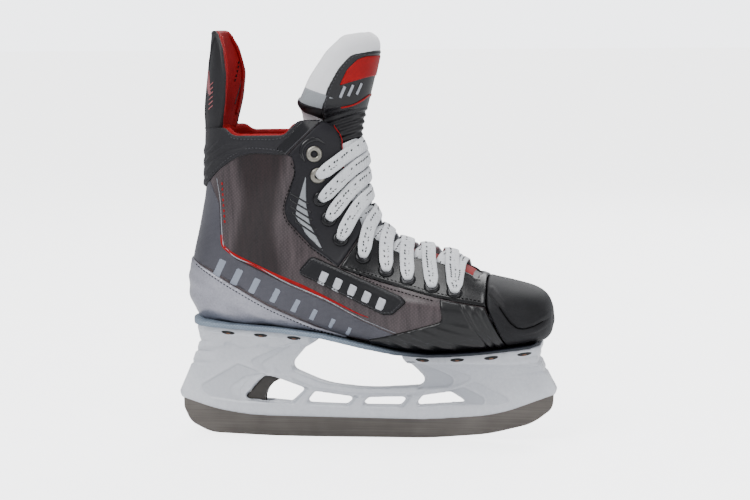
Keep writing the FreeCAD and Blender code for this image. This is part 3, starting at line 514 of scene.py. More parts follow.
# ---------------------------------------------------------------- view
def make_view():
    """Pale floor, soft light from above and both sides, and a long lens on the lateral side."""
    low, high = [Vector(c) for c in CAD_BOX]
    target = Vector(((low.x + high.x) / 2, 0, (low.z + high.z) / 2)) + VIEW_SHIFT
    azimuth, elevation = math.radians(VIEW_AZIMUTH), math.radians(VIEW_ELEVATION)
    direction = Vector((math.sin(azimuth) * math.cos(elevation),
                        -math.cos(azimuth) * math.cos(elevation), math.sin(elevation)))
    data = bpy.data.cameras.new("view_camera")
    data.lens = VIEW_LENS
    camera = linked("view_camera", data)
    camera.location = target + direction * VIEW_DISTANCE
    roll = Matrix.Rotation(math.radians(-VIEW_ROLL), 4, "Z")
    aim = (-direction).to_track_quat("-Z", "Y").to_matrix().to_4x4()
    camera.rotation_euler = (aim @ roll).to_euler()
    bpy.context.scene.camera = camera

    floor_material = grained("floor_paint", (236, 237, 239), (246, 246, 247), rough=(0.55, 0.65),
                             grain=0.03, depth=0.01)
    tree = floor_material.node_tree
    seen = add(tree, "ShaderNodeLightPath").outputs["Is Camera Ray"]
    glow = maths(tree, "MULTIPLY", seen, FLOOR_GLOW)
    feed(tree, tree.nodes["Principled BSDF"], {"Emission Color": rgba((250, 250, 251)),
                                               "Emission Strength": glow})
    corners = [(a * FLOOR_REACH, b * FLOOR_REACH, 0) for a, b in ((-1, -1), (1, -1), (1, 1), (-1, 1))]
    floor = mesh_object("floor", corners, [(0, 1, 2, 3)], floor_material, shade=False)

    for name, place, size, power in LAMPS:
        light = bpy.data.lights.new(name, "AREA")
        light.size = size
        light.energy = power
        lamp = linked(name, light)
        lamp.location = place
        lamp.rotation_euler = (target - Vector(place)).to_track_quat("-Z", "Y").to_euler()

    world = bpy.data.worlds.new("studio")
    bpy.context.scene.world = world
    world.use_nodes = True
    tree = world.node_tree
    seen = add(tree, "ShaderNodeLightPath").outputs["Is Camera Ray"]
    strength = maths(tree, "ADD", maths(tree, "MULTIPLY", seen, WORLD_SEEN - WORLD_LIGHT), WORLD_LIGHT)
    feed(tree, tree.nodes["Background"], {"Color": rgba((238, 240, 244)), "Strength": strength})


VIEW_AZIMUTH = 9.0
VIEW_ELEVATION = 6.8
VIEW_ROLL = 0.5
VIEW_DISTANCE = 1.515
VIEW_LENS = 96.6
VIEW_SHIFT = Vector((0.0074, 0, -0.0107))
FLOOR_REACH = 15000
WORLD_LIGHT = 0.7
WORLD_SEEN = 4.4
FLOOR_GLOW = 3.2
LAMPS = (
    ("key", (-0.6, -1.2, 1.5), 0.9, 21),
    ("fill", (1.4, -1.0, 0.8), 1.2, 8),
    ("rear", (0.3, 1.5, 1.2), 1.2, 14),
    ("top", (0.0, -0.1, 1.8), 0.8, 13),
)
make_view()


# ---------------------------------------------------------------- pieces on the boot
TOE = [(93.5, 129.5), (96, 109, 10), (112.5, 70), (150, 70), (150, 130)]
THROAT = [(-28, 262), (-28, 243, 3), (-19, 240, 6), (-12, 228, 12), (-11, 208, 60), (3, 161, 30),
          (22, 148.5, 30), (59, 139, 40), (79, 135, 6), (86, 127), (120, 165), (60, 262)]
THROAT_FLOOR = [(-28, 262), (-42, 243), (-26, 225), (-24, 205), (-10, 155), (20, 135), (60, 125),
                (86, 119), (87.5, 128), (120, 165), (60, 262)]
SHELL = [(-150, 60), (111.5, 60), (111.5, 71), (95, 109, 10), (92, 131), (60, 242.6),
         (-30, 242.6), (-34, 240), (-42, 240, 4), (-55, 229, 8), (-96, 229, 8), (-105, 234, 5),
         (-150, 236)]
COLLAR = [(-128, 189), (-121, 192), (-106, 206, 40), (-85, 219.5, 40), (-52.3, 217.9),
          (-27.7, 243.7), (-43, 243.5, 8), (-54, 232.5, 8), (-93, 232, 10), (-99, 237.5, 4),
          (-128, 237.5)]
FACING_UPPER = [(-27.2, 243.2), (-51.8, 217.4), (-48, 217.2, 3), (-45.5, 206, 20), (-55, 178, 12),
                (-52, 168, 10), (-34, 149, 20), (-14, 135.5), (2.2, 160.5), (-11.5, 208, 60),
                (-12.5, 228, 12), (-19.5, 239.5, 6)]
FACING_LOWER = [(-13.5, 135.2), (-6, 132.5), (20, 125), (60, 115, 40), (95.4, 108), (93.2, 129.3),
                (85.7, 127), (78.8, 134.7, 6), (58.8, 138.6, 40), (22, 148, 30), (2.8, 160)]
HEEL_CUP = [(-150, 138.5), (-133, 138.5), (-113, 129.5, 60), (-70, 105, 60), (-33, 88.5),
            (-10, 81.5), (-10, 60), (-150, 60)]
FOREFOOT = [(8, 81), (64, 97.5, 4), (62, 114), (94.6, 107.7), (110.5, 74.5), (110.5, 60), (8, 60)]
BADGE = [(-46, 130.5, 3), (-34.5, 143.5, 4), (33.5, 116, 3), (38, 111.5, 2), (27, 101.5, 3),
         (19.5, 101.5, 6)]
ANKLE = [(-150, 105), (-60, 105, 20), (-28, 140, 20), (-40, 160, 30), (-45, 175, 30), (-31, 236),
         (-43, 244.5, 8), (-54, 233.5, 8), (-93, 233, 10), (-99, 237.5, 4), (-150, 237.5)]
THROAT_HALF = 17.5
OVERLAY = 1.3


def edge_curve(distance, radius):
    """0 at a piece's edge, rising on a quarter circle to 1 at the radius and beyond."""
    share = np.clip(distance / radius, 0, 1)
    return np.sqrt(1 - (1 - share) ** 2)


def ridge(distance, width):
    """1 on a line, falling smoothly to 0 at half the width away."""
    return np.cos(np.clip(np.abs(distance) * 2 / width, 0, 1) * math.pi / 2) ** 2


def line_distance(points, a, b):
    """Distance from each (a, b) to an open line of points, and how far along it that is."""
    best = np.full(np.shape(a), 1e9)
    along = np.zeros(np.shape(a))
    run = 0.0
    for p, q in zip(np.array(points[:-1], float), np.array(points[1:], float)):
        edge = q - p
        length = np.linalg.norm(edge)
        share = np.clip(((a - p[0]) * edge[0] + (b - p[1]) * edge[1]) / length ** 2, 0, 1)
        away = np.hypot(a - p[0] - share * edge[0], b - p[1] - share * edge[1])
        along = np.where(away < best, run + share * length, along)
        best = np.minimum(best, away)
        run += length
    return best, along


def layer(sheet, top, bottom):
    """Points and faces of a closed skin between two lifts of a sheet, which meet along its edge."""
    count = len(sheet.points)
    points = np.vstack([sheet.lifted(top), sheet.lifted(bottom)])
    faces = np.vstack([sheet.faces, sheet.faces[:, ::-1] + count])
    rim = np.nonzero(sheet.edge < 1e-6)[0]
    renumbered = np.arange(2 * count)
    renumbered[rim + count] = rim
    return points, renumbered[faces]


def closed_layer(name, sheet, top, bottom, material, body="boot"):
    return mesh_object(name, *layer(sheet, top, bottom), material, body)


def boot_part(outline, *holes, side=0, throat=False, sheet=BOOT):
    """The part of the boot's surface inside an outline in side view and outside the holes."""
    x, y, z = sheet.points.T
    keep = inside(outline, x, z)
    for hole in holes:
        keep = np.minimum(keep, -inside(hole, x, z))
    if side:
        keep = np.minimum(keep, side * y)
    if throat:
        floor = np.maximum(np.abs(y) - THROAT_HALF, -inside(THROAT_FLOOR, x, z))
        keep = np.minimum(keep, floor)
    return sheet.clipped(keep)


def overlay(name, node, outline, *holes, material, relief, side=0, throat=False, radius=0.9):
    """A raised panel on the shell with a rounded edge, standing for the CAD node."""
    sheet = boot_part(outline, *holes, side=side, throat=throat)
    top = relief(sheet) * smooth(sheet.edge, 0.3, 1.6) - OVERLAY * (1 - edge_curve(sheet.edge, radius))
    bottom = -OVERLAY - BACK_DEPTH * smooth(sheet.edge, 0, 1.0)
    piece = closed_layer(name, sheet, top, bottom, material)
    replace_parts(piece, node)


BACK_DEPTH = 0.35


def shell_piece():
    sheet = boot_part(SHELL, THROAT, throat=True, sheet=COARSE_BOOT)
    rounding = (SHELL_INNER - SHELL_OUTER) / 2 * (1 - edge_curve(sheet.edge, 1.5))
    shell = closed_layer("quarter_shell_skin", sheet, -SHELL_OUTER - rounding,
                         -SHELL_INNER + rounding, M["shell"])
    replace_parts(shell, "quarter_shell")
    x, z = np.tile(sheet.points[:, 0], 2), np.tile(sheet.points[:, 2], 2)
    zone = smooth(inside(DARK_ZONE, x, z), -3, 6)
    attribute = shell.data.attributes.new("dark_zone", "FLOAT", "POINT")
    attribute.data.foreach_set("value", zone[:len(shell.data.vertices)])


SHELL_OUTER, SHELL_INNER = 1.35, 4.0
DARK_ZONE = [(-96, 232), (-86, 186, 40), (-100, 132), (-54, 118), (-62, 165, 40), (-50, 225)]
shell_piece()


# ---------------------------------------------------------------- overlays
def leaf_ridges(sheet):
    """Embossed leaves that sweep from the heel end of the collar up to its front."""
    x, z = sheet.points[:, 0], sheet.points[:, 2]
    height = np.zeros(len(x))
    for line, width, depth in COLLAR_LEAVES:
        away, along = line_distance(line, x, z)
        taper = np.sin(np.clip(along / run_along(line)[-1], 0, 1) * math.pi) ** 0.5
        height += 1.8 * depth * ridge(away, width) * taper
    for heel_z in HEEL_BUMPS:
        near = smooth(-x, 113, 121)
        height += 1.0 * near * np.cos(np.clip((z - heel_z) / 3.6, -1, 1) * math.pi / 2) ** 0.6
    return height


COLLAR_LEAVES = (
    (((-122, 198), (-110, 211), (-96, 219), (-80, 223)), 4.5, 0.7),
    (((-122, 206), (-112, 216), (-98, 224), (-84, 226)), 4.0, 0.6),
    (((-120, 214), (-110, 222), (-102, 229)), 3.5, 0.5),
)
HEEL_BUMPS = (195, 203, 211, 219)


def toe_groove(sheet):
    """The groove and low fold that run from the toe cap's rear edge round to its front."""
    x, z = sheet.points[:, 0], sheet.points[:, 2]
    away, _ = line_distance(TOE_LINE, x, z)
    return (-1.5 * ridge(away, 2.4) + 0.5 * ridge(away - 3.4, 4.5)) * (1 - smooth(x, 132, 141))


TOE_LINE = ((97, 116), (105, 108), (113, 96), (118, 91.5), (123, 90.5), (130, 92), (139, 96),
            (146, 101))


def facing_relief(sheet):
    """A low rounded bead along the facing's edges."""
    return 0.35 * ridge(sheet.edge - 1.6, 2.2)


def forefoot_relief(sheet):
    """Straight bars beside the toe cap, and long thin ribs that sweep down to the divider."""
    x, z = sheet.points[:, 0], sheet.points[:, 2]
    away, _ = line_distance(FOREFOOT_DIVIDER, x, z)
    divider_x, divider_z = zip(*FOREFOOT_DIVIDER[::-1])
    divide_x = np.interp(z, divider_z, divider_x)
    front = smooth(x - divide_x, 1.0, 2.0)
    back = smooth(divide_x - x, 1.0, 2.5)
    slant = (x - divide_x) * 0.93
    bars = smooth(np.sin(np.clip(slant, 0, 30) * 2 * math.pi / RIB_PITCH), -0.7, 0.7)
    sweep = z + 0.42 * (x - 50) - 0.0035 * (x - 50) ** 2
    ribs = np.abs(np.cos(sweep * math.pi / RIB_PITCH)) ** 5 * smooth(x, 16, 30)
    plain = 1 - smooth(z - 0.1 * (x - 60), 90, 97)
    return 0.8 * front * bars + 0.65 * back * ribs * plain - 0.6 * ridge(away, 2.0)


FOREFOOT_DIVIDER = ((76, 112.5), (84, 96), (98, 74), (101, 64))
RIB_PITCH = 6.4


def heel_relief(sheet):
    """Soft ribs that follow the heel cup's upper edge."""
    x, z = sheet.points[:, 0], sheet.points[:, 2]
    ribs = np.sin((z + 0.45 * x) * 2 * math.pi / 15) * smooth(sheet.edge, 6, 12)
    return 0.45 * ribs - 0.4 * ridge(sheet.edge - 3.2, 1.8)


def badge_relief(sheet):
    """A raised border and a lowered field."""
    return 1.0 * smooth(sheet.edge, 0.2, 1.4) - 0.45 * smooth(sheet.edge, 3.0, 3.8)


overlay("toe_cap_shell", "toe_cap", TOE, material=M["toe"], radius=1.2, relief=toe_groove)
overlay("collar_cover", "collar_band", COLLAR, THROAT, material=M["collar"], radius=1.0,
        relief=leaf_ridges)
overlay("heel_cup_cover", "heel_cup", HEEL_CUP, material=M["heel"], radius=1.0, relief=heel_relief)
for side_name, side in SIDES:
    overlay("facing_upper_" + side_name + "_cover", "facing_upper_" + side_name, FACING_UPPER,
            material=M["facing"], side=side, throat=True, relief=facing_relief)
    overlay("facing_lower_" + side_name + "_cover", "facing_lower_" + side_name, FACING_LOWER,
            material=M["facing_gloss"], side=side, throat=True, relief=facing_relief)
    overlay("forefoot_" + side_name + "_ribs", "forefoot_panel_" + side_name, FOREFOOT,
            material=M["panel"], side=side, relief=forefoot_relief)
    overlay("badge_" + side_name, "side_badge_" + side_name, BADGE, material=M["badge"], side=side,
            radius=1.2, relief=badge_relief)


# ---------------------------------------------------------------- thin prints, piping and stitches
def side_points(line, side, lift, step=1.0, ease=True, tree=BOOT_TREE):
    """Points and normals on one side of a surface, evenly spaced along a line in side view."""
    line = np.array(line, float)
    if ease and len(line) > 2:
        line = eased_rows(line, 12)
    run = run_along(line)
    stations = np.arange(0, run[-1] + 1e-6, step)
    spots = [on_tree(tree, np.interp(s, run, line[:, 0]), np.interp(s, run, line[:, 1]), side, lift)
             for s in stations]
    kept = [spot for spot in spots if spot[0] is not None]
    return np.array([p for p, _ in kept]), np.array([n for _, n in kept])


def tube_faces(rings, around, joined=False):
    """Quads between rings of points. The ends are capped, unless the last ring joins the first."""
    count = rings * around
    faces = []
    for start in range(0, count if joined else count - around, around):
        for k in range(around):
            a, b = start + k, start + (k + 1) % around
            faces.append((a, b, (b + around) % count, (a + around) % count))
    if not joined:
        faces += [tuple(range(around))[::-1], tuple(range(count - around, count))]
    return faces


def swept(points, normals, half_width, half_height, corners=8, power=3.0):
    """A closed tube of rounded flat section along points; widths may be a number or one per point."""
    points, normals = np.asarray(points), np.asarray(normals)
    tangent = unit(np.gradient(points, axis=0))
    across = unit(np.cross(tangent, normals))
    up = np.cross(across, tangent)
    turns = np.arange(corners) * 2 * math.pi / corners
    cosine, sine = np.cos(turns), np.sin(turns)
    flat = np.sign(cosine) * np.abs(cosine) ** (2 / power)
    tall = np.sign(sine) * np.abs(sine) ** (2 / power)
    wide = np.broadcast_to(half_width, len(points))[:, None, None]
    high = np.broadcast_to(half_height, len(points))[:, None, None]
    rings = (points[:, None] + across[:, None] * wide * flat[None, :, None]
             + up[:, None] * high * tall[None, :, None])
    return rings.reshape(-1, 3), tube_faces(len(points), corners)


class Pile:
    """Many small meshes gathered into one piece."""

    def __init__(self):
        self.points, self.faces, self.count = [], [], 0

    def put(self, points, faces):
        self.points.append(points)
        self.faces += [tuple(int(i) + self.count for i in face) for face in faces]
        self.count += len(points)

    def piece(self, name, material, body="boot"):
        return mesh_object(name, np.vstack(self.points), self.faces, material, body)


def stitch(pile, start, end, normal, radius=0.38):
    """One thread stitch: a short tube that dips in at both ends."""
    shares = np.linspace(0, 1, 6)[:, None]
    points = start * (1 - shares) + end * shares
    points = points + normal * (np.sin(shares * math.pi) * 0.25 - 0.12)
    thin = radius * np.sqrt(np.clip(1 - (shares[:, 0] * 2 - 1) ** 4, 0.05, 1))
    pile.put(*swept(points, np.tile(normal, (6, 1)), thin, thin, 6, 2.0))


STITCH_STEPS = 6


def stitch_line(pile, line, side, lift=0.15, pitch=3.0, length=2.1, radius=0.38, ease=True,
                tree=BOOT_TREE):
    points, normals = side_points(line, side, lift, pitch / STITCH_STEPS, ease, tree)
    span = max(1, int(round(STITCH_STEPS * length / pitch)))
    for k in range(0, len(points) - span, STITCH_STEPS):
        stitch(pile, points[k], points[k + span], normals[k], radius)


def printed_line(pile, line, side, width, lift, thick=0.16, ease=True, taper=None, tree=BOOT_TREE):
    points, normals = side_points(line, side, lift, 1.0, ease, tree)
    if len(points) < 3:
        return
    half = np.full(len(points), width / 2)
    if taper:
        half = half * np.interp(np.linspace(0, 1, len(points)), *zip(*taper))
    pile.put(*swept(points, normals, half, thick))


def patch(name, outline, side, material, lift, thick=0.25):
    """A thin print on one side of the boot, inside an outline in side view."""
    sheet = boot_part(outline, side=side)
    edge = thick * smooth(sheet.edge, 0, 0.5)
    return closed_layer(name, sheet, lift + edge, lift - edge, material)


# ---------------------------------------------------------------- prints on the shell
RED_STRIPE = ((-103.5, 158), (-102.8, 150.5), (-99, 146.5), (-92, 142.2), (-66, 130), (-42, 120.5),
              (-20, 111), (0, 102), (9, 99))
LIGHT_LINE = ((-108, 200), (-104.5, 182), (-102.5, 152), (-99, 147), (-92, 141), (-77, 135),
              (-55, 123.5), (-33, 114.8), (-21, 109.8), (3, 98), (30, 87.5))
RED_DASHES = ((-103.2, 197), (-100.5, 165))
KNIT_FILM = [(-134, 139), (-128, 165, 40), (-116.5, 200.5), (-105.5, 181), (-103.6, 152, 8),
             (-92, 139.5, 8), (-55, 121.8), (-21, 108.3), (3, 96.5), (33, 84), (20, 79.5),
             (-14, 82.3), (-33, 90.5), (-70, 107), (-113, 131.5, 60)]
FILM_LIFT = -OVERLAY + 0.02
SHELL_BARS = (-112, -98, -84, -68, -52, -38, -24, -11)


def bar_outline(x, size):
    """A slanting bar, generic, standing on the knit panel's slope."""
    z = 120.5 - 0.435 * (x + 96)
    slope = 0.435 * 0.42 * size
    return [(x, z), (x + 0.42 * size, z - slope), (x + 0.95 * size, z + size - slope),
            (x + 0.53 * size, z + size)]


def shell_prints():
    lines_red, lines_pale = Pile(), Pile()
    for side_name, side in SIDES:
        patch("knit_film_" + side_name, KNIT_FILM, side, M["knit"], FILM_LIFT, 0.12)
        printed_line(lines_red, RED_STRIPE, side, 2.5, FILM_LIFT + 0.1,
                     taper=((0, 0.9), (0.6, 1.0), (1, 0.25)))
        printed_line(lines_pale, LIGHT_LINE, side, 1.1, FILM_LIFT + 0.1,
                     taper=((0, 0.5), (0.3, 1), (1, 0.4)))
        start, end = np.array(RED_DASHES, float)
        for at in np.arange(8) / 8:
            a, b = start + (end - start) * at, start + (end - start) * (at + 0.07)
            printed_line(lines_red, (a, b), side, 1.5, FILM_LIFT + 0.05, ease=False)
        for number, x in enumerate(SHELL_BARS):
            patch("shell_bar_%d_%s" % (number, side_name), bar_outline(x, 13.0 - 0.8 * number), side,
                  M["pale"], FILM_LIFT + 0.08, 0.1)
    lines_red.piece("shell_stripe_red", M["red"])
    lines_pale.piece("shell_line_pale", M["silver"])


shell_prints()


# ---------------------------------------------------------------- details of the facings
HATCH = [(-38, 203), (-45.5, 179), (-46.4, 172), (-38.5, 158.5), (-25.5, 146.5), (-36, 166),
         (-38.5, 180)]
HATCH_SLITS = ((-50, 190, -36, 181), (-50, 185, -35, 175), (-50, 180, -34, 169), (-49, 175, -31, 162),
               (-47, 169, -28, 156))
GLOSS_BAND = [(-52.8, 218.6), (-28.2, 243.2), (-40, 243.2, 4), (-59.5, 222.5, 2), (-56.5, 218.8)]
PATENT_C = ((-24.5, 226), (-31, 229.5), (-38.5, 226), (-41, 219), (-38, 212.5))


def facing_details():
    stitches, piping, slits, lines = Pile(), Pile(), Pile(), Pile()
    outer_upper = ((-48.5, 212), (-45.8, 205), (-49, 196), (-54.5, 182), (-54.6, 172), (-49.5, 164),
                   (-36, 150), (-18, 138.2))
    for side_name, side in SIDES:
        patch("facing_hatch_" + side_name, HATCH, side, M["label"], 0.05, 0.12)
        for x0, z0, x1, z1 in HATCH_SLITS:
            printed_line(slits, ((x0, z0), (x1, z1)), side, 1.3, 0.2, 0.12, ease=False)
        patch("collar_gloss_" + side_name, GLOSS_BAND, side, M["patent"], 0.02, 0.16)
        printed_line(lines, ((-53.2, 218.4), (-28.4, 243.0)), side, 0.7, 0.25, ease=False)
        stitch_line(stitches, outer_upper, side, 0.1)
        stitch_line(stitches, ((-16.5, 236), (-14.3, 226), (-13.6, 212), (-11, 198), (-6, 180)), side,
                    0.1, 2.6, 1.7)
        stitch_line(stitches, ((-7, 135.5), (20, 127.8), (60, 117.6), (91.5, 111.5)), side, 0.1)
        stitch_line(stitches, ((-3.5, 132.2), (20, 122.6), (58, 113)), side, -OVERLAY + 0.1, 2.8,
                    1.9)
        printed_line(piping, ((-19.5, 238.6), (-13.4, 228), (-12.4, 208), (-8.5, 190)), side, 0.7,
                     0.1, 0.3)
        printed_line(slits, PATENT_C, side, 3.6, 0.15, 0.5,
                     taper=((0, 0.3), (0.3, 1), (0.8, 0.9), (1, 0.3)))
        printed_line(lines, ((-34.5, 149.8), (-24, 143), (-14.5, 136.2)), side, 0.6, 0.1, ease=False)
    stitches.piece("facing_stitches", M["stitch_dark"])
    piping.piece("facing_piping_red", M["red"])
    slits.piece("facing_patent_trim", M["patent"])
    lines.piece("facing_fine_lines", M["stitch"])


def collar_details():
    stitches = Pile()
    lower = ((-119.5, 195), (-106, 208), (-85, 221.6), (-68, 222.6), (-54, 220.5))
    upper = ((-97, 236), (-92.5, 230.3), (-75, 229.6), (-56, 230.4), (-45, 240.2), (-33, 241.6))
    border = ((-43.5, 130.8), (-34, 140.6), (32, 114.2), (35, 111.5), (26.5, 103.6), (19.8, 103.6))
    for _, side in SIDES:
        stitch_line(stitches, lower, side, 0.12, 2.7, 1.8)
        stitch_line(stitches, upper, side, 0.12, 2.7, 1.8)
        stitch_line(stitches, border + border[:1], side, 1.15, 2.6, 1.8, 0.34, ease=False)
    stitches.piece("collar_and_badge_stitches", M["stitch"])
    for side_name, side in SIDES:
        for x in BADGE_BARS:
            z = 127.6 - 0.405 * (x + 26)
            outline = [(x, z - 5.6), (x + 5.4, z - 7.8), (x + 9.2, z + 1.2), (x + 3.8, z + 3.4)]
            patch("badge_bar_%d_%s" % (x + 40, side_name), outline, side, M["badge_mark"], 0.6, 0.35)
    heel_line = Pile()
    for _, side in SIDES:
        stitch_line(heel_line, ((-126, 134.5), (-113, 127), (-92, 115), (-70, 103), (-48, 93.5),
                                (-33, 87.3), (-20, 83.8)), side, 0.05, 2.7, 1.9)
    heel_line.piece("heel_cup_stitches", M["stitch_dark"])


def toe_groove_shadow_line():
    """Painted shadow: a near-black line along the bottom of the toe cap's groove, where shade falls."""
    pile = Pile()
    for _, side in SIDES:
        printed_line(pile, TOE_LINE[1:-1], side, 1.0, -1.0, 0.3)
    pile.piece("toe_groove_shadow", M["groove"])


BADGE_BARS = (-30, -19, -8, 3, 14)
facing_details()
collar_details()
toe_groove_shadow_line()


# ---------------------------------------------------------------- tongue and tendon guard
# Level sections: height, front (or back), bow depth, half width, as the CAD solids have them.
TONGUE = [(209, -3.5, 20, 13), (230, -1.5, 30, 15), (243.6, 0.6, 38, 16.4), (252, 2.9, 44, 29),
          (260, 5, 46, 33), (276, 9, 46, 34), (292, 12.6, 44, 34), (308, 15.5, 40, 33)]
TONGUE_TOP = [(-4, 212.5), (-34, 233), (-44.5, 240, 3), (-46, 251.5, 2), (-37, 273, 40), (-22, 294, 30),
              (-9, 304.8, 10), (7, 306.3, 8), (16.5, 302.5), (40, 296), (40, 212.5)]
TONGUE_COVER = [(-4, 212.5), (-29.5, 236.5), (-28, 249, 20), (-22, 267, 40), (-14, 281, 30),
                (-5, 291, 12), (12, 293.8), (40, 294), (40, 212.5)]
TONGUE_BASE = [(0, 208.5), (-26, 220), (-25, 206), (-10, 155, 20), (16, 138, 20), (60, 126, 20),
               (88, 119), (92, 127), (130, 165), (60, 208.5)]
GUARD = [(233, -120.0, 16.5, 25.5), (240, -120.3, 17.5, 27), (252, -120.2, 20, 31),
         (275, -117.6, 21, 34.5), (293, -115.8, 17, 30), (310, -114.2, 9, 20)]
GUARD_EDGE = [(-130, 234.0), (-103, 234.0), (-98.6, 258, 30), (-97.2, 277, 20), (-101, 297, 20),
              (-107, 309, 5), (-130, 309)]
SKIRT = 14.0


BOW_COLUMNS = 150


def bow_sheet(sections, nose):
    """A bowed sheet through level half ellipses whose nose points along X, with short skirts."""
    grid = []
    turn = np.linspace(-math.pi / 2, math.pi / 2, 400)
    for z, front, bow, half_width in eased_rows(sections, 26):
        x = front - nose * bow + nose * bow * np.cos(turn)
        y = half_width * np.sin(turn)
        x = np.concatenate([[x[0] - nose * SKIRT], x, [x[-1] - nose * SKIRT]])
        y = np.concatenate([[y[0]], y, [y[-1]]])
        run = run_along(np.column_stack([x, y]))
        even = np.linspace(0, run[-1], BOW_COLUMNS)
        grid.append(np.column_stack([np.interp(even, run, x), np.interp(even, run, y),
                                     np.full(BOW_COLUMNS, z)]))
    return grid_sheet(np.array(grid), (len(grid) // 2, BOW_COLUMNS // 2), (nose, 0, 0))


TONGUE_SHEET = bow_sheet(TONGUE, 1)
GUARD_SHEET = bow_sheet(GUARD, -1)
TONGUE_TREE = tree_of(TONGUE_SHEET)
GUARD_TREE = tree_of(GUARD_SHEET)


def crossing_joint(piece):
    """Bake a piece's transform into its points."""
    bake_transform(piece)


def padded_edge(edge, outer, thickness, radius=None):
    """Lifts of a layer's two faces that meet in a round edge."""
    draw = thickness / 2 * (1 - edge_curve(edge, radius or thickness / 2))
    return -outer - draw, -outer - thickness + draw


def felt_faces(z, edge):
    """Lifts of the tongue felt's two faces, which swell towards its top."""
    top, bottom = padded_edge(edge, 2.0, 9.0, 5.5)
    return top + 1.4 * smooth(edge, 1, 9) * smooth(z, 244, 262), bottom


def flex_ribs(sheet):
    """Glossy slanting ribs where the tongue bends, below its cover's plain field."""
    x, _, z = sheet.points.T
    band = smooth(z, 213, 218) * (1 - smooth(z, 248, 253))
    return 0.6 * band * np.sin((z - 0.32 * x) * 2 * math.pi / 4.6) + 0.45 * ridge(sheet.edge - 2.0, 2.4)


def tongue_pieces():
    sheet = TONGUE_SHEET
    x, y, z = sheet.points.T
    felt = sheet.clipped(inside(TONGUE_TOP, x, z))
    piece = closed_layer("tongue_felt_pad", felt, *felt_faces(felt.points[:, 2], felt.edge),
                         M["felt"], None)
    crossing_joint(piece)
    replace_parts(piece, "tongue_top_felt")

    cover = sheet.clipped(inside(TONGUE_COVER, x, z))
    lift = -1.3 * (1 - edge_curve(cover.edge, 1.2)) + flex_ribs(cover) * smooth(cover.edge, 0.2, 1.4)
    piece = closed_layer("tongue_cover_skin", cover, lift, -1.3 - 0.9 * smooth(cover.edge, 0, 1),
                         M["tongue"], None)
    crossing_joint(piece)
    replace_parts(piece, "tongue_top_cover")

    badge = sheet.clipped(np.minimum(inside(TONGUE_PATCH, x, z), 30 - np.abs(y)))
    lift = 0.25 + 0.45 * edge_curve(badge.edge, 0.8)
    piece = closed_layer("tongue_patch_red", badge, lift, 0.25 - 0.25 * smooth(badge.edge, 0, 0.6),
                         M["red"], "tongue")
    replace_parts(piece, "tongue_badge")
    for name, low, high, material in TONGUE_BANDS:
        slope = z + 0.35 * x
        strip = np.minimum(slope - low, high - slope)
        band = sheet.clipped(np.minimum(inside(TONGUE_TOP, x, z), strip))
        band_x, _, band_z = band.points.T
        top, bottom = felt_faces(band_z, inside(TONGUE_TOP, band_x, band_z))
        rise = 0.7 * edge_curve(band.edge, 0.6)
        closed_layer(name, band, np.minimum(top + rise, 0.05), bottom - rise, M[material], "tongue")
    for name, line, width, material in TONGUE_MARKS:
        pile = Pile()
        for _, side in SIDES:
            printed_line(pile, line, side, width, 0.35, 0.3, tree=TONGUE_TREE)
        pile.piece(name, M[material], "tongue")
    stitches = Pile()
    for _, side in SIDES:
        stitch_line(stitches, TONGUE_STITCHES, side, 0.3, 2.8, 1.9, 0.36, tree=TONGUE_TREE)
    stitches.piece("tongue_stitches", M["stitch"], "tongue")


TONGUE_PATCH = [(-13.5, 268.5), (-8, 280, 12), (-0.5, 287.5, 8), (5, 289.5, 6), (30, 290.5),
                (30, 279), (3, 273.5)]
TONGUE_STITCHES = ((-27, 241), (-25.5, 250), (-20, 266), (-12, 280), (-3.5, 289.3), (8, 291.3))
TONGUE_BANDS = (
    ("tongue_label_grey", 240.5, 253.5, "label"),
    ("tongue_label_black", 232.0, 240.4, "tongue"),
)
TONGUE_MARKS = (
    ("tongue_bar_rear", ((-13.5, 259.5), (-9.5, 268.5)), 2.4, "silver"),
    ("tongue_bar_middle", ((-8.0, 260.5), (-4.0, 269.5)), 2.4, "silver"),
    ("tongue_bar_front", ((-2.5, 261.5), (1.5, 270.5)), 2.4, "silver"),
    ("tongue_underline_red", ((-13.5, 252), (-6, 253.5), (0, 256.5), (6, 261.5)), 1.5, "red"),
)
tongue_pieces()


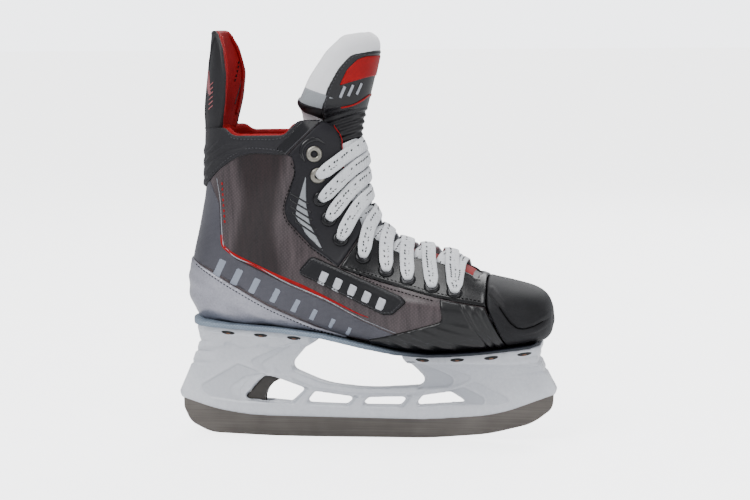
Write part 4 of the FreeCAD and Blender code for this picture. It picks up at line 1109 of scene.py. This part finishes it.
def guard_pieces():
    sheet = GUARD_SHEET
    x, y, z = sheet.points.T
    body = sheet.clipped(inside(GUARD_EDGE, x, z))
    slant = (body.points[:, 2] - 240) / 70
    rib = ridge(np.abs(body.points[:, 1]) - (13 + 9 * slant), 3.4)
    lift = -1.3 * (1 - edge_curve(body.edge, 1.3)) + (0.7 * rib + 0.35 * ridge(body.edge - 2.2, 2.2)
                                                     ) * smooth(body.edge, 0.2, 1.6)
    piece = closed_layer("guard_outer_panel", body, lift, -1.3 - 1.2 * smooth(body.edge, 0, 1.2),
                         M["guard_out"], None)
    crossing_joint(piece)
    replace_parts(piece, "tendon_guard_panel")

    top, bottom = padded_edge(body.edge, 2.5, 3.6)
    piece = closed_layer("guard_lining_pad", body, top, bottom, M["guard_in"], None)
    crossing_joint(piece)
    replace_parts(piece, "tendon_guard_lining")

    prints, hatch, inner, dashes, rim = Pile(), Pile(), Pile(), Pile(), Pile()
    for side in (-1, 1):
        wedge = sheet.clipped(np.minimum(inside(GUARD_WEDGE, x, z), side * y - 7))
        soft = smooth(wedge.edge, 0, 0.5)
        prints.put(*layer(wedge, 0.05 + 0.3 * soft, 0.05 - 0.2 * soft))
        for k in range(6):
            near, low = -113 + 0.2 * k, 251 + 3.4 * k
            printed_line(hatch, ((near, low), (near + 4.4, low + 3.2)), side, 0.9, 0.3, 0.15,
                         tree=GUARD_TREE)
        printed_line(rim, GUARD_RIM, side, 2.6, INNER_LIFT, 0.7, tree=GUARD_TREE)
        printed_line(inner, ((-107, 252), (-102, 268), (-98.5, 283)), side, 0.7, INNER_LIFT, 0.3,
                     tree=GUARD_TREE)
        for k in range(5):
            near, low = -108.5 + k, 270 + 3.6 * k
            printed_line(dashes, ((near, low), (near + 0.6, low + 2)), side, 1.1, INNER_LIFT, 0.3,
                         tree=GUARD_TREE)
    for pile, name, material in ((prints, "guard_wedge_red", "wedge"), (hatch, "guard_hatch", "wedge"),
                                 (rim, "guard_rim_red", "red"), (inner, "guard_fine_line", "stitch"),
                                 (dashes, "guard_dashes", "stitch_dark")):
        crossing_joint(pile.piece(name, M[material], None))


INNER_LIFT = -6.2
GUARD_WEDGE = [(-117, 270), (-116.2, 294), (-112.5, 276), (-110.5, 262), (-113.5, 262)]
GUARD_RIM = ((-103, 243), (-101, 258), (-99.6, 277), (-103, 296), (-108.5, 306.5))
guard_pieces()


# ---------------------------------------------------------------- linings and the tongue's base
def lining_pieces():
    sheet = boot_part(ANKLE, THROAT, sheet=COARSE_BOOT)
    top, bottom = padded_edge(sheet.edge, 4.2, 4.3)
    piece = closed_layer("ankle_lining_pad", sheet, top, bottom, M["lining"])
    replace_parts(piece, "ankle_lining")

    x, y, z = BOOT.points.T
    base = BOOT.clipped(np.minimum(inside(TONGUE_BASE, x, z), PAD_HALF - np.abs(y)))
    top, bottom = padded_edge(base.edge, 4.4, 7.0)
    piece = closed_layer("tongue_base_pad", base, top, bottom, M["felt"])
    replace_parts(piece, "tongue_base_felt")

    cover = BOOT.clipped(np.minimum(inside(TONGUE_BASE, x, z) - 1.2, THROAT_HALF - 0.1 - np.abs(y)))
    ribs = 0.45 * np.sin((cover.points[:, 2] - 0.3 * cover.points[:, 0]) * 2 * math.pi / 4.6)
    lift = -2.2 + ribs * smooth(cover.points[:, 2], 168, 190) - 1.2 * (1 - edge_curve(cover.edge, 1.2))
    piece = closed_layer("tongue_base_skin", cover, lift, -3.4 - 0.5 * smooth(cover.edge, 0, 1),
                         M["tongue"])
    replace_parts(piece, "tongue_base_cover")
    toe_red = BOOT.clipped(np.minimum(inside(TONGUE_TOE_RED, x, z), 15 - np.abs(y)))
    closed_layer("tongue_toe_red", toe_red, -1.7, -2.6 - 0.2 * smooth(toe_red.edge, 0, 1), M["lining"])


PAD_HALF = 24.0
TONGUE_TOE_RED = [(34, 130), (34, 160), (84, 150), (84, 120)]
lining_pieces()


# ---------------------------------------------------------------- eyelets and laces
EYELETS = [(-31.5, 218.3), (-29.7, 202.5), (-28, 184.8), (-22.4, 170.2), (-13.5, 155.2),
           (3.7, 142.5), (20.7, 132.8), (37.5, 126.8), (55, 121.8), (72, 118.2)]
PEWTER_ROWS = 2
# Profile of an eyelet, turned about its axis: radius and height above the facing.
EYELET_PROFILE = ((2.45, -2.5), (2.45, 0.2), (2.7, 0.9), (3.3, 1.35), (4.3, 1.45), (5.2, 1.15),
                  (5.8, 0.55), (6.0, 0.0), (5.9, -0.6), (4.0, -0.8), (3.2, -2.5))
EYELET_CORNERS = 40
LACE_WIDTH = 10.4
LACE_THICK = 2.0
ROW_COUNT, COLUMN_COUNT = BOOT_GRID.shape[:2]


def grid_place(x, z, side):
    """Row and column of the boot's grid at a point given in side view."""
    point, _ = on_tree(BOOT_TREE, x, z, side)
    flat = np.argmin(np.linalg.norm(BOOT.points - point, axis=1))
    return np.array(divmod(int(flat), COLUMN_COUNT), float)


def grid_point(place, lift):
    """The boot's point and normal at a fractional row and column, lifted."""
    row, column = place
    r0, c0 = int(min(row, ROW_COUNT - 2)), int(min(column, COLUMN_COUNT - 2))
    fr, fc = row - r0, column - c0
    weights = ((r0, c0, (1 - fr) * (1 - fc)), (r0 + 1, c0, fr * (1 - fc)),
               (r0, c0 + 1, (1 - fr) * fc), (r0 + 1, c0 + 1, fr * fc))
    point = sum(BOOT_GRID[r, c] * w for r, c, w in weights)
    normal = unit(sum(BOOT_NORMALS[r, c] * w for r, c, w in weights))
    return point + normal * lift, normal


HOLES = {(row, side): grid_place(x, z, side)
         for row, (x, z) in enumerate(EYELETS) for _, side in SIDES}


def eyelet_pieces():
    piles = {"eyelets_top": Pile(), "eyelets_lower": Pile()}
    turns = np.arange(EYELET_CORNERS) * 2 * math.pi / EYELET_CORNERS
    for (row, _), place in HOLES.items():
        centre, normal = grid_point(place, 0.3)
        right = unit(np.cross(normal, (0, 0, 1.0)))
        up = np.cross(right, normal)
        rings = [centre + right * r * math.cos(t) + up * r * math.sin(t) + normal * h
                 for r, h in EYELET_PROFILE for t in turns]
        faces = tube_faces(len(EYELET_PROFILE), EYELET_CORNERS, joined=True)
        piles["eyelets_top" if row < PEWTER_ROWS else "eyelets_lower"].put(np.array(rings), faces)
    for node, pile in piles.items():
        piece = pile.piece(node + "_rings", M["pewter" if node == "eyelets_top" else "black_metal"])
        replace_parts(piece, node)


def lace_path(start, end, stations):
    """Points and normals over the boot from one place on its grid to another, by (share, lift)."""
    spots = [grid_point(start + (end - start) * share, lift) for share, lift in eased_rows(stations, 9)]
    points, normals = zip(*spots)
    return np.array(points), np.array(normals)


LACE_STEP = 0.8
LACE_CORNERS = 22


def ribbon(pile, flecks, start, end, stations, twist=0.0, narrow_end=False, seed=0):
    """A flat woven lace along stations, narrow where it comes out of its eyelet."""
    points, normals = lace_path(start, end, stations)
    run = run_along(points)
    even = np.arange(0, run[-1], LACE_STEP)
    points = np.column_stack([np.interp(even, run, points[:, k]) for k in range(3)])
    normals = unit(np.column_stack([np.interp(even, run, normals[:, k]) for k in range(3)]))
    across = np.cross(unit(np.gradient(points, axis=0)), normals)
    roll = twist * np.sin(even / run[-1] * math.pi)[:, None]
    normals = normals * np.cos(roll) + across * np.sin(roll)
    opening = smooth(even, -1.0, 15.0)
    if narrow_end:
        opening = opening * smooth(run[-1] - even, -1.0, 15.0)
    half = LACE_WIDTH / 2 * (0.38 + 0.62 * opening)
    thick = LACE_THICK / 2 * (1.35 - 0.35 * opening)
    wave = np.sin(even * 0.55 + seed) * 0.18
    points = points + normals * wave[:, None]
    rings, faces = swept(points, normals, half, thick, LACE_CORNERS, 2.6)
    rings = rings.reshape(len(points), LACE_CORNERS, 3)
    turns = np.arange(LACE_CORNERS) * 2 * math.pi / LACE_CORNERS
    ribs = 0.09 * np.cos(even[:, None] * math.pi / LACE_STEP + (turns[None] > math.pi) * math.pi)
    rings = rings + (rings - points[:, None]) / LACE_WIDTH * ribs[:, :, None] * 4
    pile.put(rings.reshape(-1, 3), faces)
    random.seed(seed)
    for k in range(8, len(points) - 8, 3):
        for row in (-1, 1):
            if random.random() < 0.42:
                continue
            offset = row * half[k] * (0.18 + 0.10 * random.random())
            side = across[k] * offset
            lift = normals[k] * (thick[k] * 0.98)
            slant = across[k] * 0.5 * row
            a, b = points[k] + side + lift, points[k + 2] + side + lift + slant
            shares = np.linspace(0, 1, 4)[:, None]
            line = a * (1 - shares) + b * shares
            flecks.put(*swept(line, np.tile(normals[k], (4, 1)), 0.55, 0.16, 6, 2.0))


def lace_pieces():
    pile, flecks = Pile(), Pile()
    toe = len(EYELETS) - 1
    bar = ((0.0, -5), (0.0, 0.9), (0.05, 2.3), (0.15, 2.4), (0.3, 2.2), (0.5, 1.8), (0.7, 2.2),
           (0.85, 2.4), (0.95, 2.3), (1.0, 0.9), (1.0, -5))
    ribbon(pile, flecks, HOLES[toe, -1], HOLES[toe, 1], bar, narrow_end=True, seed=91)
    for row in range(toe - 1, 0, -1):
        for side in (-1, 1):
            height = LACE_HEIGHT[side]
            stations = ((0.0, -5), (0.0, 0.9), (0.04, 2.4), (0.12, 2.5), (0.26, 2.3),
                        (0.4, height - 0.5), (0.5, height), (0.6, height - 1.2), (0.68, 0.4),
                        (0.74, -2.2), (0.82, -4.2), (0.92, -5))
            ribbon(pile, flecks, HOLES[row + 1, side], HOLES[row, -side], stations, 0.12 * side,
                   seed=row * 2 + side)
    for side in (-1, 1):
        height = LACE_HEIGHT[side]
        tucked = ((0.0, -5), (0.0, 0.9), (0.05, 2.4), (0.14, 2.5), (0.28, 2.4), (0.42, height - 0.3),
                  (0.52, height - 0.4), (0.62, height - 2.0), (0.7, 0.2), (0.76, -2.4), (0.84, -4.4))
        ribbon(pile, flecks, HOLES[1, side], (HOLES[1, -side] + HOLES[0, -side]) / 2, tucked,
               0.15 * side, seed=40 + side)
    lace = pile.piece("lace_ribbon", M["lace"])
    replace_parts(lace, "lace")
    flecks.piece("lace_flecks", M["fleck"])


# The lace that starts on the lateral side crosses over the other one.
LACE_HEIGHT = {1: 3.0, -1: 5.4}
eyelet_pieces()
lace_pieces()


# ---------------------------------------------------------------- blade holder and outsole
HOLDER_VOXEL = 0.9
# Facets of the towers' sides: outline, step in from the face around it, and how much painted shade
# darkens it where it faces away from the light.
FACETS = (
    ([(-54, 76), (-91, 58.7, 4), (-79, 48.5, 4), (-58, 49), (-40, 60), (-40, 80)], 1.0, 0.35),
    ([(-48, 76), (-82, 56, 4), (-73, 48, 3), (-58, 49), (-40, 60), (-40, 80)], 0.8, -0.25),
    ([(-98, 57), (-130.5, 37.5, 4), (-121, 29.5, 4), (-97, 26.5), (-62, 25.5), (-56, 38),
      (-84, 52, 6)], 1.0, 0.45),
    ([(-92, 47, 6), (-110, 35, 5), (-96, 28.5, 4), (-60, 26), (-60, 36), (-78, 49, 5)], 0.7, -0.35),
    ([(36, 68), (47, 60.5), (71, 46.5, 4), (62, 40.5, 4), (40, 39), (30, 55)], 1.1, 0.5),
    ([(36, 68), (57, 61), (85, 48.5, 3), (66, 41, 3), (40, 39), (30, 55)], 0.6, 0.3),
    ([(84, 46.5, 6), (114, 31.5, 3), (100, 27.5), (66, 28), (60, 37), (68, 40.5)], 0.8, 0.3),
    ([(75, 42, 6), (98, 30, 4), (88, 27.5), (66, 28), (60, 37)], 0.9, 0.5),
    ([(-47, 39.5), (-43, 37.8), (-55, 25.5), (-59, 26.3)], 1.3, 0.8),
    ([(-9, 33.5), (-4.5, 32.5), (-12.5, 24.4), (-16.5, 25)], 1.3, 0.8),
    ([(31.5, 34.8), (36.3, 34), (29.5, 24.6), (25, 25.2)], 1.3, 0.8),
    ([(-60, 48), (-40, 39.8, 60), (-8, 35.9, 60), (34, 36.2, 60), (47, 40), (44, 33.5), (-8, 31),
      (-52, 38)], 0.6, 0.45),
)
REAR_GROOVES = (74.5, 66.3, 56.3)
FRONT_GROOVES = (68.5, 63.0, 54.5)
REAR_POCKETS = (-101, -76, -51)
FRONT_POCKETS = (47, 73, 98, 122)
SOLE_LINE = sorted((rib[2], rib[3]) for rib in RIBS[1:15])
OUTSOLE_DEPTH = 3.6
OUTSOLE_THIN = 2.0
FLANGE_TOP = OUTSOLE_DEPTH - OUTSOLE_THIN


def sole_height(x):
    return np.interp(x, *zip(*SOLE_LINE))


def mesh_arrays(mesh):
    """A mesh's points in mm and their normals."""
    points, normals = np.empty((2, len(mesh.vertices) * 3))
    mesh.vertices.foreach_get("co", points)
    mesh.vertices.foreach_get("normal", normals)
    return points.reshape(-1, 3) / MM, normals.reshape(-1, 3)


def remeshed(node, name, voxel, smoothing, rounds, extra=()):
    """A copy of a CAD node's mesh, joined to extra solids, with even small faces and softened edges."""
    source = bpy.data.objects[node]
    work = bmesh.new()
    work.from_mesh(source.data)
    work.transform(source.matrix_world)
    for points, faces in extra:
        corners = [work.verts.new(Vector(p) * MM) for p in points]
        for face in faces:
            work.faces.new([corners[k] for k in face])
    bmesh.ops.recalc_face_normals(work, faces=work.faces)
    joined = bpy.data.meshes.new(name + "_work")
    work.to_mesh(joined)
    work.free()
    return remeshed_again(joined, name, voxel, smoothing, rounds)


def remeshed_again(joined, name, voxel, smoothing, rounds):
    """A mesh with even small faces and softened edges."""
    copy = linked(name + "_work", joined)
    remesh = copy.modifiers.new("even", "REMESH")
    remesh.mode = "VOXEL"
    remesh.voxel_size = voxel * MM
    soften = copy.modifiers.new("soften", "SMOOTH")
    soften.factor, soften.iterations = smoothing, rounds
    graph = bpy.context.evaluated_depsgraph_get()
    mesh = bpy.data.meshes.new_from_object(copy.evaluated_get(graph))
    bpy.data.objects.remove(copy)
    mesh.name = name
    return mesh


def finished(mesh, points, material, node, **shades):
    """The piece that stands for a CAD node, with values on its points for its material."""
    mesh.vertices.foreach_set("co", (points * MM).ravel())
    for name, values in shades.items():
        mesh.attributes.new(name, "FLOAT", "POINT").data.foreach_set("value", values)
    mesh.shade_smooth()
    mesh.materials.clear()
    mesh.materials.append(material)
    piece = linked(mesh.name, mesh)
    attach(piece, "boot")
    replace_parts(piece, node)
    return piece


def flange_limit(x):
    """Half width of the flanges in plan: narrow at both ends of each tower."""
    rear = 9 + 17 * np.sqrt(np.clip(1 - np.abs((x + 84) / 56) ** 3, 0, 1))
    front = 8 + 24 * np.sqrt(np.clip(1 - np.abs((x - 76) / 62) ** 3, 0, 1))
    return np.where(x < 0, rear, front)


def tower_flare(foot, reach):
    """A solid that widens smoothly from a tower's wall to the edge of its flange."""
    xs = np.arange(foot[0][0], foot[-1][0] + 0.1, 1.5)
    points = []
    for x, bottom in zip(xs, np.interp(xs, *zip(*foot))):
        top = sole_height(x) - OUTSOLE_DEPTH - 0.1
        z = np.linspace(bottom, top, FLARE_ROWS)
        rise = np.clip(1 - (top - 1.5 - z) / reach, 0, 1)
        half = TOWER_HALF + (flange_limit(x) - 0.3 - TOWER_HALF) * rise ** 2.0
        side = np.column_stack([np.full(FLARE_ROWS, x), half, z])
        points += side.tolist() + (side[::-1] * (1, -1, 1)).tolist()
    return points, tube_faces(len(xs), 2 * FLARE_ROWS)


TOWER_HALF = 6.0
FLARE_ROWS = 14
REAR_FOOT = ((-126, 72), (-121, 58), (-110, 50), (-78, 51), (-63, 56), (-53, 67), (-43, 74))
FRONT_FOOT = ((36, 61), (46, 50), (60, 45), (100, 42), (120, 46), (130, 60))


def round_plug(x, z, radius, low, high):
    """A short cylinder along Y."""
    turn = np.linspace(0, 2 * math.pi, PLUG_CORNERS, endpoint=False)
    across, up = x + radius * np.cos(turn), z + radius * np.sin(turn)
    rings = [np.column_stack([across, np.full(PLUG_CORNERS, y), up]) for y in (low, high)]
    return np.vstack(rings), tube_faces(2, PLUG_CORNERS)


def edge_disc(tree, centre, side, wide, tall, drop, lift):
    """A thin closed crescent that lies on the edge of a flange."""
    def surface(a, b):
        hit, _, _, _ = tree.ray_cast(Vector((a, side * 60, b)), Vector((0, -side, 0)))
        return (a, hit.y + side * lift if hit else side * 20, b)

    count = DISC_CORNERS
    turn = np.linspace(0, 2 * math.pi, count, endpoint=False)
    slope = (sole_height(centre + 5) - sole_height(centre - 5)) / 10
    x = centre + wide * np.cos(turn)
    z = sole_height(centre) - FLANGE_TOP - 3.6 + drop + slope * (x - centre)
    z += np.where(np.sin(turn) > 0, 0.75, 1.1) * tall * np.sin(turn)
    hub = z.mean()
    rings = [np.array([surface(centre + (a - centre) * share, hub + (b - hub) * share)
                       for a, b in zip(x, z)]) for share in (1, 0.66, 0.33)]
    rings.insert(0, rings[0] - (0, side * 1.2, 0))
    hubs = np.array([surface(centre, hub), rings[0].mean(axis=0)])
    faces = []
    for a in range(count):
        b = (a + 1) % count
        for c, d in ((a + ring, b + ring) for ring in range(0, 3 * count, count)):
            faces += [(c, d, d + count), (c, d + count, c + count)]
        faces += [(a + 3 * count, b + 3 * count, 4 * count), (b, a, 4 * count + 1)]
    return np.vstack([*rings, hubs]), faces


def rivet_pocket_shadows(tree):
    """Painted shadow: dark crescents laid on the flanges' edges where the deep rivet pockets are in
    shade, with the end of a rivet in each.
    """
    pocket_shadows, ends_of = Pile(), {"rivets_rear": Pile(), "rivets_front": Pile()}
    for side in (-1, 1):
        for centre in REAR_POCKETS + FRONT_POCKETS:
            ends = ends_of["rivets_rear" if centre < 0 else "rivets_front"]
            pocket_shadows.put(*edge_disc(tree, centre, side, 5.2, 1.5, 0.0, 0.06))
            ends.put(*edge_disc(tree, centre, side, 1.6, 0.45, -0.75, 0.12))
    pocket_shadows.piece("rivet_pocket_shadows", M["pocket"])
    for node, pile in ends_of.items():
        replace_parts(pile.piece(node + "_ends", M["copper"]), node)


PIN_X, PIN_Z, PIN_END = -71.0, 50.0, 7.1
PLUG_CORNERS, DISC_CORNERS = 24, 28
SLOT_HALF = 2.0
NECK_FOOT, NECK_DEPTH = 48, 7.5


def narrowed(mesh):
    """Trim the towers and flanges to their widths, and even the mesh out again."""
    points, _ = mesh_arrays(mesh)
    x, y, z = points.T
    sole = sole_height(x)
    neck = sole - NECK_DEPTH
    rear = x < -20
    rise = np.clip((z - NECK_FOOT) / (neck - NECK_FOOT), 0, 1)
    wall = np.where(rear & (z < neck), 8.2 + 13.5 * rise ** 1.5, flange_limit(x))
    wall = np.where((z > sole - 18) | rear, wall, 1e3)
    points[:, 1] = np.clip(y, -wall, wall)
    mesh.vertices.foreach_set("co", (points * MM).ravel())
    return remeshed_again(mesh, "holder_shell", HOLDER_VOXEL, 0.5, 4)


def facet_steps(x, z):
    """How deep the facets of the towers' sides lie, and how much painted shade darkens them, with
    painted lighter lines along their rims.
    """
    depth, tone = np.zeros((2, len(x)))
    for outline, step, grey in FACETS:
        away = inside(outline, x, z)
        depth += step * smooth(away, -0.3, 0.9) - 0.3 * np.exp(-((away + 0.5) / 0.6) ** 2)
        tone += grey * smooth(away, -0.2, 0.8) - 0.5 * np.exp(-((away + 0.4) / 0.6) ** 2) * (grey > 0)
    return depth, tone


def groove_steps(x, z):
    """How deep the grooves round the heel and toe ends of the flanges go."""
    depth = np.zeros(len(x))
    for height in REAR_GROOVES:
        above = z - height
        step = (1 - np.clip(above / 3.5, 0, 1)) * (above < 3.5)
        depth += 1.6 * step * smooth(above, -0.6, 0.2) * smooth(-x, 112, 122)
    for height in FRONT_GROOVES:
        at = z - height - 0.12 * (x - 130)
        depth += 1.3 * np.exp(-(at / 1.2) ** 2) * smooth(x, 108, 126)
    return depth


def holder_piece():
    flares = (tower_flare(REAR_FOOT, 30), tower_flare(FRONT_FOOT, 22))
    plugs = [round_plug(PIN_X, PIN_Z, 2.3, side * 3.4, side * 8.0) for side in (-1, 1)]
    mesh = narrowed(remeshed("blade_holder", "holder_rough", HOLDER_VOXEL, 0.5, 2, (*flares, *plugs)))
    points, normals = mesh_arrays(mesh)
    x, y, z = points.T
    sole = sole_height(x)
    depth, tone = facet_steps(x, z)
    share = smooth(np.abs(normals[:, 1]), 0.3, 0.75) * (1 - smooth(z, sole - 9, sole - 5))
    depth = depth * share + groove_steps(x, z)
    moved = points - normals * depth[:, None]
    boss = 1 - smooth(np.hypot(x - PIN_X, z - PIN_Z), 2.4, 4.2)
    boss = boss * ((np.abs(y) > 5) & (normals[:, 1] * y > 0))
    moved[:, 1] += np.sign(y) * boss * np.clip(PIN_END - np.abs(moved[:, 1]), 0, 2)
    moved[:, 2] += OUTSOLE_THIN * smooth(z, sole - OUTSOLE_DEPTH - 3.0, sole - OUTSOLE_DEPTH - 0.6)
    faces = [tuple(face.vertices) for face in mesh.polygons]
    rivet_pocket_shadows(BVHTree.FromPolygons(moved.tolist(), faces))
    half = np.abs(moved[:, 1])
    slot_walls = (half > 0.7) & (half < SLOT_HALF)
    moved[:, 1] = np.where(slot_walls, np.sign(moved[:, 1]) * SLOT_HALF, moved[:, 1])
    slot_roof = (np.abs(moved[:, 1]) <= SLOT_HALF) & (z < 46) & (x > 100)
    moved[:, 2] += 1.0 * slot_roof * smooth(x, 104, 118)
    # The tone attribute carries the facets' painted shade and lighter rim lines.
    finished(mesh, moved, M["holder"], "blade_holder", tone=tone * share)


def outsole_piece():
    """The outsole plate: a thin crisp edge at the heel that gets thinner and darker to the toe."""
    mesh = remeshed("outsole", "outsole_plate", 1.05, 0.4, 3)
    points, _ = mesh_arrays(mesh)
    x, _, z = points.T
    sole = sole_height(x)
    share = np.clip((z - sole + OUTSOLE_DEPTH) / OUTSOLE_DEPTH, 0, 1)
    over = np.clip(z - sole, 0, 5)
    points[:, 2] += OUTSOLE_THIN * (1 - share) - over * (0.3 + 0.5 * smooth(x, 10, 60))
    finished(mesh, points, M["outsole"], "outsole", forward=smooth(x, -20, 55))


def shade_by(material, attribute, color, strength=1.0):
    """Mix a colour into a material where an attribute of its points says."""
    tree = material.node_tree
    base = tree.nodes["Principled BSDF"].inputs["Base Color"]
    value = add(tree, "ShaderNodeAttribute", attribute_name=attribute).outputs["Fac"]
    share = maths(tree, "MULTIPLY", value, strength, clamp=True)
    tree.links.new(mixed(tree, share, base.links[0].from_socket, rgba(color)), base)


def trigger_heel():
    """The trigger's rear edge, which fills the window up to its slanting end."""
    side_view = [(-93.5, 29.7), (-79.2, 46.5), (-75.5, 47.2), (-90.0, 29.2)]
    points = [(a, y, b) for y in (-2.4, 2.4) for a, b in side_view]
    faces = [(0, 1, 2, 3), (7, 6, 5, 4), (0, 4, 5, 1), (1, 5, 6, 2), (2, 6, 7, 3), (3, 7, 4, 0)]
    mesh_object("trigger_heel", points, faces, M["trigger"], "trigger", shade=False)


# Painted shade: where tone says, the holder's white is mixed towards grey on the facets that face away
# from the light.
shade_by(M["holder"], "tone", (168, 172, 180), 0.75)
shade_by(M["outsole"], "forward", (34, 38, 46))
holder_piece()
outsole_piece()
trigger_heel()


# ---------------------------------------------------------------- linings inside the boot
for node, name in (("footbed", "footbed_pad"), ("toe_liner", "toe_liner_pad")):
    soft_mesh = remeshed(node, name, 1.3, 0.5, 6)
    soft_points, _ = mesh_arrays(soft_mesh)
    finished(soft_mesh, soft_points, M["foam"], node)


# ---------------------------------------------------------------- CAD pieces that keep their shape
KEPT = {
    "runner": "steel", "trigger": "trigger", "trigger_pin": "pin", "trigger_spring": "pin",
    "rivet_washers": "pin", "insole_board": "board", "heel_counter": "board",
}
for node, key in KEPT.items():
    slots = bpy.data.objects[node].data.materials
    if len(slots) == 0:
        slots.append(M[key])
    for number in range(len(slots)):
        slots[number] = M[key]
